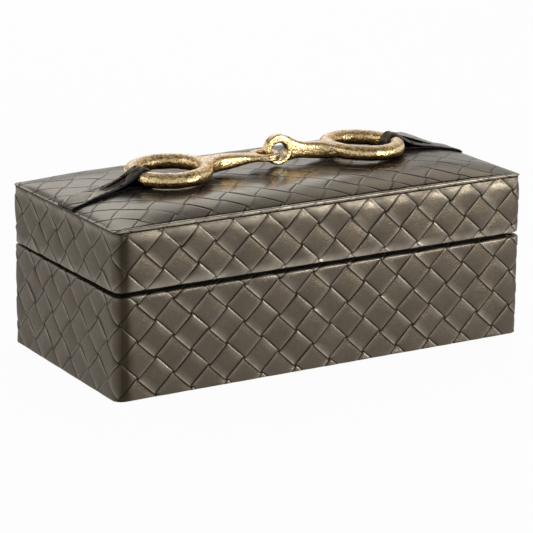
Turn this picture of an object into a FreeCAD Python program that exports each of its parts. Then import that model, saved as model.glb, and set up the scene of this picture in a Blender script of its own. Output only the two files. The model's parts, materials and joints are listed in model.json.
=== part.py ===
# Keepsake box with a woven-leather wrap, a hinged padded lid and a cast snaffle bit on top.
# Lengths are millimetres and angles are degrees. +Z is up, +X runs along the length, -Y is the front.
# The origin is the middle of the felt foot, on the surface that the box rests on.
import FreeCAD, Part
import math
import os

from FreeCAD import Vector

# Overall size of the leather-covered box
BOX_LENGTH = 300.0
BOX_DEPTH = 145.0
BASE_HEIGHT = 67.5
LID_WALL_HEIGHT = 37.9
TOP_EDGE_HEIGHT = 1.5
CROWN_RISE = 7.0
CROWN_MARGIN = 33.0
CROWN_STEPS = 5
CORNER_RADIUS = 6.0
EDGE_ROLL = 2.0

# Sheet and board thicknesses
LEATHER = 1.2
BASE_BOARD = 6.0
BASE_FLOOR = 4.0
LID_BOARD = 5.4
LID_TOP_BOARD = 5.0
LINER = 2.0
WRAP_LIFT = 0.6
TURN_UNDER = 12.0
FELT_MARGIN = 0.5

# How the lid sits on the base
HINGE_GAP = 1.0
LID_REST_ANGLE = 0.63
LIP_RISE = 6.0
LIP_ROUNDING = 0.7
LIP_CONTACT_GAP = 0.3

# Butt hinges on the back edge
HINGE_END_DISTANCE = 45.0
HINGE_WIDTH = 30.0
HINGE_LEAF_DEPTH = 6.0
KNUCKLE_RADIUS = 2.2
KNUCKLE_COUNT = 3
KNUCKLE_SIDE_GAP = 0.1
KNUCKLE_BACK_GAP = 0.2
PIN_RADIUS = 1.1
PIN_CLEARANCE = 0.05
MORTISE_CLEARANCE = 0.1

# Countersunk screws of the hinges
SCREW_COUNT = 2
SCREW_SPACING = 18.0
SCREW_HEAD_RADIUS = 1.5
SCREW_SHANK_RADIUS = 0.8
SCREW_LENGTH = 6.0
SCREW_CLEARANCE = 0.05
SCREW_FACETS = 12

# Snaffle bit: two cast and hammered links, each with a round ring, a bar and an eye
RING_RADIUS = 24.0
RING_TUBE_RADIUS = 4.8
RING_LIFT = 1.5
RING_FACETS = 30
TUBE_FACETS = 10
COLLAR_FACETS = 10
LEFT_RING_X = -76.0
RIGHT_RING_X = 73.0
EYE_RADIUS = 10.5
EYE_HOLE_RADIUS = 6.45
EYE_BEVEL = 1.0
UPRIGHT_EYE_X = 5.3
UPRIGHT_EYE_RISE = 4.0
UPRIGHT_EYE_OFFSET = 1.3
UPRIGHT_EYE_THICKNESS = 5.5
EYE_CENTRE_GAP = 9.1
FLAT_EYE_RISE = 1.4
FLAT_EYE_THICKNESS = 5.2
COLLAR_RADIUS = 4.6
COLLAR_TUBE_RADIUS = 1.6

# Sections of each bar: how far along it, its rise over the ring, its height and its width,
# as shares of the way from eye to ring, of the eye's rise, of the tube's diameter and of the eye's radius
UPRIGHT_BAR_SHARES = (
    (0.10, 1.02, 1.86, 0.50),
    (0.27, 0.84, 1.26, 0.51),
    (0.43, 0.72, 1.02, 0.57),
    (0.68, 0.42, 1.07, 0.74),
    (0.88, 0.26, 1.12, 1.00),
    (1.08, 0.00, 0.88, 2.10),
)
FLAT_BAR_SHARES = (
    (0.08, 1.00, 0.54, 1.72),
    (0.25, 0.95, 0.60, 1.24),
    (0.43, 0.75, 0.76, 1.02),
    (0.70, 0.85, 1.02, 0.98),
    (0.88, 0.45, 1.04, 1.15),
    (1.08, 0.00, 0.88, 2.10),
)

# Straps that hold the rings to the short edges of the lid
STRAP_WIDTH = 23.0
STRAP_NECK_WIDTH = 15.0
STRAP_THICKNESS = 1.4
STRAP_CLEARANCE = 0.5
STRAP_END_HEIGHT = 3.0
# Upper face of a strap in two arcs: points as shares of its reach from the lid's edge and of its rise
STRAP_TOP_SHARES = ((0.17, 0.32), (0.45, 0.50), (0.76, 0.66))

# One overrun serves every cut, and one tiny length sorts edges by place
OVERRUN = 3.0
TINY = 0.001

# Levels that follow from the sizes above
LID_BOTTOM = BASE_HEIGHT + HINGE_GAP
SEAM_LEVEL = LID_BOTTOM + LID_WALL_HEIGHT
TOP_EDGE_LEVEL = SEAM_LEVEL + TOP_EDGE_HEIGHT
CROWN_LEVEL = TOP_EDGE_LEVEL + CROWN_RISE
LIP_LEVEL = BASE_HEIGHT + LIP_RISE
BASE_CORE_BOTTOM = WRAP_LIFT + LEATHER
BASE_CORE_TOP = BASE_HEIGHT - LEATHER
FLOOR_TOP = BASE_CORE_BOTTOM + BASE_FLOOR
LID_CORE_BOTTOM = LID_BOTTOM + LEATHER
LID_TOP_BOARD_BOTTOM = SEAM_LEVEL - LID_TOP_BOARD
CEILING_BOTTOM = LID_TOP_BOARD_BOTTOM - LINER
CORE_LENGTH = BOX_LENGTH - 2 * LEATHER
CORE_DEPTH = BOX_DEPTH - 2 * LEATHER
BASE_INSIDE_LENGTH = CORE_LENGTH - 2 * BASE_BOARD
BASE_INSIDE_DEPTH = CORE_DEPTH - 2 * BASE_BOARD
LID_INSIDE_LENGTH = CORE_LENGTH - 2 * LID_BOARD
LID_INSIDE_DEPTH = CORE_DEPTH - 2 * LID_BOARD

# Hinge axis, behind the box and halfway up the gap
AXIS_Y = BOX_DEPTH / 2 + KNUCKLE_RADIUS + KNUCKLE_BACK_GAP
AXIS_Z = BASE_HEIGHT + HINGE_GAP / 2
BORE_RADIUS = PIN_RADIUS + PIN_CLEARANCE
KNUCKLE_PITCH = HINGE_WIDTH / KNUCKLE_COUNT
HINGE_MIDDLE = BOX_LENGTH / 2 - HINGE_END_DISTANCE - HINGE_WIDTH / 2

# Ring plane and the pivots at the outer side of each ring, where its strap holds it
RING_LEVEL = CROWN_LEVEL + RING_LIFT + RING_TUBE_RADIUS
LEFT_PIVOT_X = LEFT_RING_X - RING_RADIUS
RIGHT_PIVOT_X = RIGHT_RING_X + RING_RADIUS
FLAT_EYE_X = UPRIGHT_EYE_X - EYE_CENTRE_GAP

UP = Vector(0, 0, 1)
ALONG = Vector(1, 0, 0)
ACROSS = Vector(0, 1, 0)


def block(length, depth, low, high):
    """A square-cornered block centred on the Z axis."""
    return Part.makeBox(length, depth, high - low, Vector(-length / 2, -depth / 2, low))


def upright_edges(shape):
    """The edges of a block that run straight up."""
    return [e for e in shape.Edges if e.BoundBox.XLength < TINY and e.BoundBox.YLength < TINY]


def level_edges(shape, level):
    """The edges that lie flat at one level."""
    return [e for e in shape.Edges if abs(e.BoundBox.ZMin - level) < TINY and abs(e.BoundBox.ZMax - level) < TINY]


def rounded_block(length, depth, low, high, corner):
    """A block whose upright corners are rounded."""
    shape = block(length, depth, low, high)
    return shape.makeFillet(corner, upright_edges(shape))


def rolled_block(length, depth, low, high, corner, low_roll, high_roll):
    """A rounded block whose lower and upper edges may be rolled as well."""
    shape = rounded_block(length, depth, low, high, corner)
    if low_roll > 0:
        shape = shape.makeFillet(low_roll, level_edges(shape, low))
    if high_roll > 0:
        shape = shape.makeFillet(high_roll, level_edges(shape, high))
    return shape


def oval(centre, half_height, half_width, facets):
    """An upright closed polygon across the X axis, with the flats that hammering leaves."""
    corners = []
    for index in range(facets + 1):
        turn = 2 * math.pi * index / facets
        corners.append(centre + Vector(0, half_width * math.sin(turn), half_height * math.cos(turn)))
    corners[-1] = corners[0]
    return Part.makePolygon(corners)


def front_half_space(y, low, high):
    """Everything in front of the upright plane at y."""
    reach = BOX_DEPTH + y
    return Part.makeBox(2 * BOX_LENGTH, reach, high - low, Vector(-BOX_LENGTH, -BOX_DEPTH, low))


def mirrored_front(shape):
    """The same piece at the back of the box."""
    return shape.mirror(Vector(0, 0, 0), ACROSS)


def mirrored_side(shape):
    """The same piece at the other end of the box."""
    return shape.mirror(Vector(0, 0, 0), ALONG)


def tilt_with_lid(shape):
    """The lid rests a little open, because its liner meets the lip before the walls meet."""
    return shape.rotated(Vector(0, AXIS_Y, AXIS_Z), ALONG, -LID_REST_ANGLE)


# Crowned top of the lid
def margin_share(distance):
    """Rise at a distance from the lid's edge, as a share of the whole crown."""
    return 1 - (1 - distance / CROWN_MARGIN) ** 2


def crown_section(x, rise, drop):
    """The crown cut across at x: a flat middle between two margins that fall away in arcs."""
    level = TOP_EDGE_LEVEL - drop
    outside = BOX_DEPTH / 2 + OVERRUN
    inside = BOX_DEPTH / 2 - CROWN_MARGIN
    halfway = (outside + inside) / 2
    edge_height = level + rise * margin_share(-OVERRUN)
    arc_height = level + rise * margin_share(BOX_DEPTH / 2 - halfway)
    front_edge, front_arc, front_flat, back_flat, back_arc, back_edge = (
        Vector(x, y, z) for y, z in (
            (-outside, edge_height), (-halfway, arc_height), (-inside, level + rise),
            (inside, level + rise), (halfway, arc_height), (outside, edge_height)))
    back_foot = Vector(x, outside, LID_BOTTOM)
    front_foot = Vector(x, -outside, LID_BOTTOM)
    return Part.Wire([
        Part.Arc(front_edge, front_arc, front_flat).toShape(),
        Part.makeLine(front_flat, back_flat),
        Part.Arc(back_flat, back_arc, back_edge).toShape(),
        Part.makeLine(back_edge, back_foot),
        Part.makeLine(back_foot, front_foot),
        Part.makeLine(front_foot, front_edge),
    ])


def crown_solid(drop):
    """All that lies under the crowned surface, lowered by a leather thickness or by nothing."""
    step = (CROWN_MARGIN + OVERRUN) / CROWN_STEPS
    left_half = []
    right_half = []
    for index in range(CROWN_STEPS + 1):
        distance = step * index - OVERRUN
        rise = CROWN_RISE * margin_share(distance)
        left_half.append(crown_section(distance - BOX_LENGTH / 2, rise, drop))
        right_half.append(crown_section(BOX_LENGTH / 2 - distance, rise, drop))
    return Part.makeLoft(left_half + right_half[::-1], True, True)


# Base of the box
def base_core():
    """The solid that the base boards are cut from: the inside of the leather wrap."""
    return rounded_block(CORE_LENGTH, CORE_DEPTH, BASE_CORE_BOTTOM, BASE_CORE_TOP, CORNER_RADIUS - LEATHER)


def base_leather_wrap():
    """Leather round the four walls, turned over the rim and turned under the floor."""
    outer = rolled_block(BOX_LENGTH, BOX_DEPTH, WRAP_LIFT, BASE_HEIGHT, CORNER_RADIUS, 0, EDGE_ROLL)
    mouth = block(BASE_INSIDE_LENGTH, BASE_INSIDE_DEPTH, BASE_CORE_TOP - OVERRUN, BASE_HEIGHT + OVERRUN)
    under = block(BOX_LENGTH - 2 * TURN_UNDER, BOX_DEPTH - 2 * TURN_UNDER, 0, BASE_CORE_BOTTOM + OVERRUN)
    wrap = outer.cut([base_core(), mouth, under])
    for side in (-1, 1):
        wrap = wrap.cut(leaf_mortise(side, BASE_CORE_TOP, BASE_HEIGHT + OVERRUN))
    return wrap


def base_front_panel():
    """Front wall board, its ends rounded inside the leather corners."""
    y = -CORE_DEPTH / 2 + BASE_BOARD
    return base_core().common(front_half_space(y, 0, BASE_HEIGHT))


def base_back_panel():
    """Back wall board, with pilot holes for the hinge screws."""
    panel = mirrored_front(base_front_panel())
    return panel.cut(screw_holes(BASE_CORE_TOP, -1))


def base_left_panel():
    """Left wall board, butted between the front and back boards."""
    x = CORE_LENGTH / 2 - BASE_BOARD
    slab = Part.makeBox(BASE_BOARD, BASE_INSIDE_DEPTH, BASE_HEIGHT, Vector(-x - BASE_BOARD, -BASE_INSIDE_DEPTH / 2, 0))
    return base_core().common(slab)


def base_floor_panel():
    """Floor board, let in between the four walls."""
    return block(BASE_INSIDE_LENGTH, BASE_INSIDE_DEPTH, BASE_CORE_BOTTOM, FLOOR_TOP)


def base_felt_pad():
    """Felt foot under the floor, the face that the box rests on."""
    length = BOX_LENGTH - 2 * TURN_UNDER - 2 * FELT_MARGIN
    depth = BOX_DEPTH - 2 * TURN_UNDER - 2 * FELT_MARGIN
    return rounded_block(length, depth, 0, BASE_CORE_BOTTOM, CORNER_RADIUS)


def base_liner_front():
    """Suede-covered liner board of the front wall, standing proud of the rim as a lip."""
    low_corner = Vector(-BASE_INSIDE_LENGTH / 2, -BASE_INSIDE_DEPTH / 2, FLOOR_TOP)
    board = Part.makeBox(BASE_INSIDE_LENGTH, LINER, LIP_LEVEL - FLOOR_TOP, low_corner)
    return soften_lip(board)


def base_liner_left():
    """Liner board of the left wall, between the front and back liners."""
    depth = BASE_INSIDE_DEPTH - 2 * LINER
    low_corner = Vector(-BASE_INSIDE_LENGTH / 2, -depth / 2, FLOOR_TOP)
    board = Part.makeBox(LINER, depth, LIP_LEVEL - FLOOR_TOP, low_corner)
    return soften_lip(board)


def soften_lip(board):
    """Rounds the two long top edges of a liner board."""
    top = level_edges(board, LIP_LEVEL)
    long_edges = [e for e in top if e.Length > 2 * LINER]
    return board.makeFillet(LIP_ROUNDING, long_edges)


def base_liner_floor():
    """Suede-covered card on the floor, inside the wall liners."""
    return block(BASE_INSIDE_LENGTH - 2 * LINER, BASE_INSIDE_DEPTH - 2 * LINER, FLOOR_TOP, FLOOR_TOP + LINER)


# Lid, built shut and level, then tilted to its rest
def lid_core():
    """The solid that the lid boards are cut from."""
    return rounded_block(CORE_LENGTH, CORE_DEPTH, LID_CORE_BOTTOM, SEAM_LEVEL, CORNER_RADIUS - LEATHER)


def lid_side_wrap():
    """Leather round the lid's walls, turned in under their lower edge."""
    outer = rolled_block(BOX_LENGTH, BOX_DEPTH, LID_BOTTOM, SEAM_LEVEL, CORNER_RADIUS, EDGE_ROLL, 0)
    mouth = block(LID_INSIDE_LENGTH, LID_INSIDE_DEPTH, LID_BOTTOM - OVERRUN, LID_CORE_BOTTOM + OVERRUN)
    wrap = outer.cut([lid_core(), mouth])
    for side in (-1, 1):
        wrap = wrap.cut(leaf_mortise(side, LID_BOTTOM - OVERRUN, LID_CORE_BOTTOM))
    return wrap


def lid_front_panel():
    """Front wall board of the lid, under the top board."""
    y = -CORE_DEPTH / 2 + LID_BOARD
    return lid_core().common(front_half_space(y, 0, LID_TOP_BOARD_BOTTOM))


def lid_back_panel():
    """Back wall board of the lid, with pilot holes for the hinge screws."""
    panel = mirrored_front(lid_front_panel())
    return panel.cut(screw_holes(LID_CORE_BOTTOM, 1))


def lid_left_panel():
    """Left wall board of the lid, between its front and back boards."""
    low_corner = Vector(-CORE_LENGTH / 2, -LID_INSIDE_DEPTH / 2, LID_BOTTOM)
    slab = Part.makeBox(LID_BOARD, LID_INSIDE_DEPTH, LID_TOP_BOARD_BOTTOM - LID_BOTTOM, low_corner)
    return lid_core().common(slab)


def lid_top_panel():
    """Top board, laid over the four walls."""
    return rounded_block(CORE_LENGTH, CORE_DEPTH, LID_TOP_BOARD_BOTTOM, SEAM_LEVEL, CORNER_RADIUS - LEATHER)


def lid_top_padding():
    """Foam that gives the lid its crown."""
    outline = rounded_block(CORE_LENGTH, CORE_DEPTH, SEAM_LEVEL, CROWN_LEVEL, CORNER_RADIUS - LEATHER)
    return outline.common(crown_solid(LEATHER))


def lid_top_cover():
    """Leather over the foam, cut as its own panel, notched where each strap goes into the seam."""
    outline = rounded_block(BOX_LENGTH, BOX_DEPTH, SEAM_LEVEL, CROWN_LEVEL, CORNER_RADIUS)
    cover = outline.common(crown_solid(0)).cut(lid_top_padding())
    return cover.cut([strap_end(-1), strap_end(1)])


def lid_liner_front():
    """Liner board inside the lid's front wall, trimmed level above the lip."""
    low_corner = Vector(-LID_INSIDE_LENGTH / 2, -LID_INSIDE_DEPTH / 2, LID_BOTTOM)
    return Part.makeBox(LID_INSIDE_LENGTH, LINER, CEILING_BOTTOM - LID_BOTTOM, low_corner)


def lid_liner_left():
    """Liner board inside the lid's left wall."""
    depth = LID_INSIDE_DEPTH - 2 * LINER
    low_corner = Vector(-LID_INSIDE_LENGTH / 2, -depth / 2, LID_BOTTOM)
    return Part.makeBox(LINER, depth, CEILING_BOTTOM - LID_BOTTOM, low_corner)


def lid_liner_ceiling():
    """Suede-covered card under the top board."""
    return block(LID_INSIDE_LENGTH, LID_INSIDE_DEPTH, CEILING_BOTTOM, LID_TOP_BOARD_BOTTOM)


def trim_above_lip(tilted_liner):
    """Cuts a tilted lid liner level, so that it rests squarely on the lip."""
    return tilted_liner.cut(block(BOX_LENGTH, BOX_DEPTH, LID_BOTTOM - OVERRUN, LIP_LEVEL + LIP_CONTACT_GAP))


# Butt hinges
def knuckle(middle_x, length):
    """One rolled knuckle with its bore along X."""
    start = Vector(middle_x - length / 2, AXIS_Y, AXIS_Z)
    barrel = Part.makeCylinder(KNUCKLE_RADIUS, length, start, ALONG)
    return barrel.cut(Part.makeCylinder(BORE_RADIUS, length, start, ALONG))


def leaf_plate(side, low):
    """The flat of a leaf, let into the leather of the rim and as thick as it."""
    low_corner = Vector(side * HINGE_MIDDLE - HINGE_WIDTH / 2, BOX_DEPTH / 2 - HINGE_LEAF_DEPTH, low)
    return Part.makeBox(HINGE_WIDTH, HINGE_LEAF_DEPTH, LEATHER, low_corner)


def leaf_mortise(side, low, high):
    """The recess for a leaf, cut through the turned leather and out at the back."""
    length = HINGE_WIDTH + 2 * MORTISE_CLEARANCE
    front = BOX_DEPTH / 2 - HINGE_LEAF_DEPTH - MORTISE_CLEARANCE
    low_corner = Vector(side * HINGE_MIDDLE - length / 2, front, low)
    return Part.makeBox(length, BOX_DEPTH / 2 + OVERRUN - front, high - low, low_corner)


def hinge_leaf(side, low, first_knuckle):
    """A leaf with every second knuckle, starting at the given one, and a tab to each of them."""
    leaf = leaf_plate(side, low)
    length = KNUCKLE_PITCH - KNUCKLE_SIDE_GAP
    tab_end = AXIS_Y - (BORE_RADIUS + KNUCKLE_RADIUS) / 2
    for index in range(first_knuckle, KNUCKLE_COUNT, 2):
        middle = side * HINGE_MIDDLE - HINGE_WIDTH / 2 + KNUCKLE_PITCH * (index + 1 / 2)
        low_corner = Vector(middle - length / 2, BOX_DEPTH / 2, low)
        tab = Part.makeBox(length, tab_end - BOX_DEPTH / 2, LEATHER, low_corner)
        leaf = leaf.fuse([tab, knuckle(middle, length)])
    return leaf.removeSplitter()


def screw_places(side):
    """The middle of each screw of one leaf, in plan."""
    y = BOX_DEPTH / 2 - HINGE_LEAF_DEPTH / 2
    first = side * HINGE_MIDDLE - SCREW_SPACING * (SCREW_COUNT - 1) / 2
    return [(first + SCREW_SPACING * index, y) for index in range(SCREW_COUNT)]


def screw(x, y, face, direction, grow):
    """A countersunk screw whose head is flush with the leaf's face, its point going down or up."""
    sections = []
    for depth, radius in ((0, SCREW_HEAD_RADIUS), (LEATHER, SCREW_SHANK_RADIUS), (SCREW_LENGTH, SCREW_SHANK_RADIUS)):
        upright = oval(Vector(0, 0, 0), radius + grow, radius + grow, SCREW_FACETS)
        level = upright.rotated(Vector(0, 0, 0), ACROSS, 90)
        sections.append(level.translated(Vector(x, y, face + direction * depth)))
    return Part.makeLoft(sections, True, True)


def screw_set(face, direction, grow):
    """All the screws of the two lower or the two upper leaves."""
    return [screw(x, y, face, direction, grow) for side in (-1, 1) for x, y in screw_places(side)]


def screw_holes(board_face, direction):
    """Holes for the screws in a wall board and in the leaf on it."""
    face = board_face - direction * LEATHER
    return Part.makeCompound(screw_set(face, direction, SCREW_CLEARANCE))


def lower_hinge_leaf(side):
    """The leaf on the base rim, with the outer and middle knuckles."""
    return hinge_leaf(side, BASE_CORE_TOP, 0).cut(screw_holes(BASE_CORE_TOP, -1))


def upper_hinge_leaf(side):
    """The leaf under the lid's lower edge, with the knuckles between."""
    return hinge_leaf(side, LID_BOTTOM, 1).cut(screw_holes(LID_CORE_BOTTOM, 1))


def hinge_pin(side):
    """The pin through all the knuckles of one hinge."""
    start = Vector(side * HINGE_MIDDLE - HINGE_WIDTH / 2, AXIS_Y, AXIS_Z)
    return Part.makeCylinder(PIN_RADIUS, HINGE_WIDTH, start, ALONG)


# Snaffle bit
def hammered_ring(centre, radius, tube_radius, facets):
    """A level ring of flat facets, lofted through its sections and closed on itself."""
    section = oval(Vector(0, -radius, 0), tube_radius, tube_radius, TUBE_FACETS)
    sections = [section.rotated(Vector(0, 0, 0), UP, 360 * index / facets) for index in range(facets)]
    shell = Part.makeLoft(sections, False, True, True)
    solid = Part.Solid(Part.Shell(shell.Faces))
    return solid.translated(centre)


def bar(eye_x, eye_rise, ring_x, shares):
    """A bar that swells and turns from its eye to its ring."""
    direction = math.copysign(1, ring_x - eye_x)
    start = eye_x + direction * EYE_HOLE_RADIUS
    reach = ring_x - direction * (RING_RADIUS + RING_TUBE_RADIUS / 2) - start
    sections = []
    for along_share, rise_share, height_share, width_share in shares:
        middle = Vector(start + reach * along_share, 0, RING_LEVEL + eye_rise * rise_share)
        half_width = EYE_RADIUS / 2 * width_share
        sections.append(oval(middle, RING_TUBE_RADIUS * height_share, half_width, TUBE_FACETS))
    return Part.makeLoft(sections, True, True)


def eye(centre, axis, thickness, offset):
    """A flat round eye with bevelled rims, its hole off centre by the given vector."""
    disc = Part.makeCylinder(EYE_RADIUS, thickness, centre + offset - axis * (thickness / 2), axis)
    return disc.makeChamfer(EYE_BEVEL, [e for e in disc.Edges if len(e.Vertexes) == 1])


def eye_hole(centre, axis, thickness):
    """The round hole through an eye and whatever of the bar reaches into it."""
    length = thickness + 2 * OVERRUN
    return Part.makeCylinder(EYE_HOLE_RADIUS, length, centre - axis * (length / 2), axis)


def ring(x):
    """The round ring at the outer end of a link."""
    return hammered_ring(Vector(x, 0, RING_LEVEL), RING_RADIUS, RING_TUBE_RADIUS, RING_FACETS)


def collar(x):
    """The lumpy collar where the bar runs into its ring."""
    level_collar = hammered_ring(Vector(0, 0, 0), COLLAR_RADIUS, COLLAR_TUBE_RADIUS, COLLAR_FACETS)
    upright_collar = level_collar.rotated(Vector(0, 0, 0), ACROSS, 90)
    return upright_collar.translated(Vector(x, 0, RING_LEVEL + COLLAR_TUBE_RADIUS / 2))


def right_bit_link():
    """The link whose eye stands upright."""
    centre = Vector(UPRIGHT_EYE_X, 0, RING_LEVEL + UPRIGHT_EYE_RISE)
    shape = eye(centre, ACROSS, UPRIGHT_EYE_THICKNESS, UP * UPRIGHT_EYE_OFFSET)
    shape = shape.fuse(bar(UPRIGHT_EYE_X, UPRIGHT_EYE_RISE, RIGHT_RING_X, UPRIGHT_BAR_SHARES))
    shape = shape.cut(eye_hole(centre, ACROSS, UPRIGHT_EYE_THICKNESS))
    collar_x = RIGHT_RING_X - RING_RADIUS - RING_TUBE_RADIUS
    return shape.fuse([ring(RIGHT_RING_X), collar(collar_x)])


def left_bit_link():
    """The link whose eye lies flat, threaded through the upright eye."""
    centre = Vector(FLAT_EYE_X, 0, RING_LEVEL + FLAT_EYE_RISE)
    shape = eye(centre, UP, FLAT_EYE_THICKNESS, Vector(0, 0, 0))
    shape = shape.fuse(bar(FLAT_EYE_X, FLAT_EYE_RISE, LEFT_RING_X, FLAT_BAR_SHARES))
    shape = shape.cut(eye_hole(centre, UP, FLAT_EYE_THICKNESS))
    collar_x = LEFT_RING_X + RING_RADIUS + RING_TUBE_RADIUS
    return shape.fuse([ring(LEFT_RING_X), collar(collar_x)])


# Straps
def strap_reach(side):
    """How far a strap runs from the lid's edge to the middle of the ring's tube."""
    pivot = RIGHT_PIVOT_X if side > 0 else LEFT_PIVOT_X
    return BOX_LENGTH / 2 - abs(pivot)


def strap_plan(side):
    """The strap's outline from above: wide at the edge and gathered at the ring."""
    reach = strap_reach(side)
    edge = side * BOX_LENGTH / 2
    neck = side * (BOX_LENGTH / 2 - reach)
    inner = neck - side * (RING_RADIUS / 2)
    half_edge = STRAP_WIDTH / 2
    half_neck = STRAP_NECK_WIDTH / 2
    outline = [
        Vector(edge, -half_edge, SEAM_LEVEL), Vector(edge, half_edge, SEAM_LEVEL),
        Vector(neck, half_neck, SEAM_LEVEL), Vector(inner, half_neck, SEAM_LEVEL),
        Vector(inner, -half_neck, SEAM_LEVEL), Vector(neck, -half_neck, SEAM_LEVEL),
    ]
    face = Part.Face(Part.makePolygon(outline + outline[:1]))
    return face.extrude(UP * (2 * CROWN_RISE + 4 * RING_TUBE_RADIUS))


def strap_side_profile(side):
    """The strap seen from the front: a low end in the seam, a ramp, and the top of the loop."""
    reach = strap_reach(side)
    edge = side * BOX_LENGTH / 2
    loop_radius = RING_TUBE_RADIUS + STRAP_CLEARANCE + STRAP_THICKNESS
    top = RING_LEVEL + loop_radius
    rise = top - SEAM_LEVEL
    start = Vector(edge, 0, SEAM_LEVEL + STRAP_END_HEIGHT)
    end = Vector(edge - side * reach, 0, top)
    low_point, middle_point, high_point = (
        Vector(edge - side * reach * along_share, 0, SEAM_LEVEL + rise * rise_share)
        for along_share, rise_share in STRAP_TOP_SHARES)
    foot = Vector(edge, 0, SEAM_LEVEL)
    heel = Vector(edge - side * reach, 0, SEAM_LEVEL)
    return Part.Face(Part.Wire([
        Part.Arc(start, low_point, middle_point).toShape(),
        Part.Arc(middle_point, high_point, end).toShape(),
        Part.makeLine(end, heel),
        Part.makeLine(heel, foot),
        Part.makeLine(foot, start),
    ]))


def strap_solid(side):
    """A whole strap before it is fitted over the lid's crown and round the ring."""
    profile = strap_side_profile(side).translated(ACROSS * (-STRAP_WIDTH / 2))
    wedge = profile.extrude(ACROSS * STRAP_WIDTH)
    pivot = RIGHT_PIVOT_X if side > 0 else LEFT_PIVOT_X
    ring_x = RIGHT_RING_X if side > 0 else LEFT_RING_X
    loop_radius = RING_TUBE_RADIUS + STRAP_CLEARANCE + STRAP_THICKNESS
    loop = hammered_ring(Vector(ring_x, 0, RING_LEVEL), RING_RADIUS, loop_radius, RING_FACETS)
    reach_in = RING_RADIUS / 2
    window_start = min(pivot - side * reach_in, pivot + side * reach_in)
    window = Part.makeBox(2 * reach_in, STRAP_NECK_WIDTH, 4 * loop_radius,
                          Vector(window_start, -STRAP_NECK_WIDTH / 2, RING_LEVEL - 2 * loop_radius))
    return wedge.common(strap_plan(side)).fuse(loop.common(window))


def strap_end(side):
    """The part of a strap that goes down into the seam at the lid's edge."""
    x = side * (BOX_LENGTH / 2 - LEATHER / 2)
    return Part.makeBox(LEATHER, STRAP_WIDTH, TOP_EDGE_HEIGHT + STRAP_END_HEIGHT,
                        Vector(x - LEATHER / 2, -STRAP_WIDTH / 2, SEAM_LEVEL))


def strap(side):
    """A leather strap: out of the seam, up over the crown, round the ring and back under itself."""
    ring_x = RIGHT_RING_X if side > 0 else LEFT_RING_X
    room_radius = RING_TUBE_RADIUS + STRAP_CLEARANCE
    tube_room = hammered_ring(Vector(ring_x, 0, RING_LEVEL), RING_RADIUS, room_radius, RING_FACETS)
    body = strap_solid(side).cut([tube_room, crown_solid(0)])
    end = strap_end(side).common(strap_solid(side))
    return body.fuse(end).removeSplitter()


def save(name, shape):
    """Writes one sub-part under its own name."""
    solids = shape.Solids
    result = solids[0] if len(solids) == 1 else Part.makeCompound(solids)
    result.exportStep("parts/" + name + ".step")
    print(name, len(solids), round(sum(s.Volume for s in solids)), result.isValid())


def main():
    os.makedirs("parts", exist_ok=True)
    front_wall = base_front_panel()
    left_wall = base_left_panel()
    base_front_liner = base_liner_front()
    base_left_liner = base_liner_left()
    save("base_leather_wrap", base_leather_wrap())
    save("base_front_panel", front_wall)
    save("base_back_panel", base_back_panel())
    save("base_left_panel", left_wall)
    save("base_right_panel", mirrored_side(left_wall))
    save("base_floor_panel", base_floor_panel())
    save("base_felt_pad", base_felt_pad())
    save("base_liner_front", base_front_liner)
    save("base_liner_back", mirrored_front(base_front_liner))
    save("base_liner_left", base_left_liner)
    save("base_liner_right", mirrored_side(base_left_liner))
    save("base_liner_floor", base_liner_floor())
    for side, place in ((-1, "left"), (1, "right")):
        save("lower_hinge_leaf_" + place, lower_hinge_leaf(side))
        save("hinge_pin_" + place, hinge_pin(side))
        save("upper_hinge_leaf_" + place, tilt_with_lid(upper_hinge_leaf(side)))
        save(place + "_strap", tilt_with_lid(strap(side)))
    save("lower_hinge_screws", Part.makeCompound(screw_set(BASE_HEIGHT, -1, 0)))
    save("upper_hinge_screws", tilt_with_lid(Part.makeCompound(screw_set(LID_BOTTOM, 1, 0))))
    lid_left_wall = lid_left_panel()
    save("lid_side_wrap", tilt_with_lid(lid_side_wrap()))
    save("lid_front_panel", tilt_with_lid(lid_front_panel()))
    save("lid_back_panel", tilt_with_lid(lid_back_panel()))
    save("lid_left_panel", tilt_with_lid(lid_left_wall))
    save("lid_right_panel", tilt_with_lid(mirrored_side(lid_left_wall)))
    save("lid_top_panel", tilt_with_lid(lid_top_panel()))
    save("lid_top_padding", tilt_with_lid(lid_top_padding()))
    save("lid_top_cover", tilt_with_lid(lid_top_cover()))
    front_liner = lid_liner_front()
    left_liner = lid_liner_left()
    save("lid_liner_front", trim_above_lip(tilt_with_lid(front_liner)))
    save("lid_liner_back", trim_above_lip(tilt_with_lid(mirrored_front(front_liner))))
    save("lid_liner_left", trim_above_lip(tilt_with_lid(left_liner)))
    save("lid_liner_right", trim_above_lip(tilt_with_lid(mirrored_side(left_liner))))
    save("lid_liner_ceiling", tilt_with_lid(lid_liner_ceiling()))
    save("left_bit_link", tilt_with_lid(left_bit_link()))
    save("right_bit_link", tilt_with_lid(right_bit_link()))


main()
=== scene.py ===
# %% [markdown]
# A keepsake box wrapped in woven leather, with a cast snaffle bit on its lid. The frame, which is
# loaded first, already holds every construction part at its real size and place, in metres. This
# lesson dresses that frame: leather over the boards, suede inside, brass hinges, and antique gold
# for the bit. Nothing of the frame is moved.

# %% Load the frame
import json
import math

import bpy
import numpy as np
from mathutils import Matrix, Vector


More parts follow.
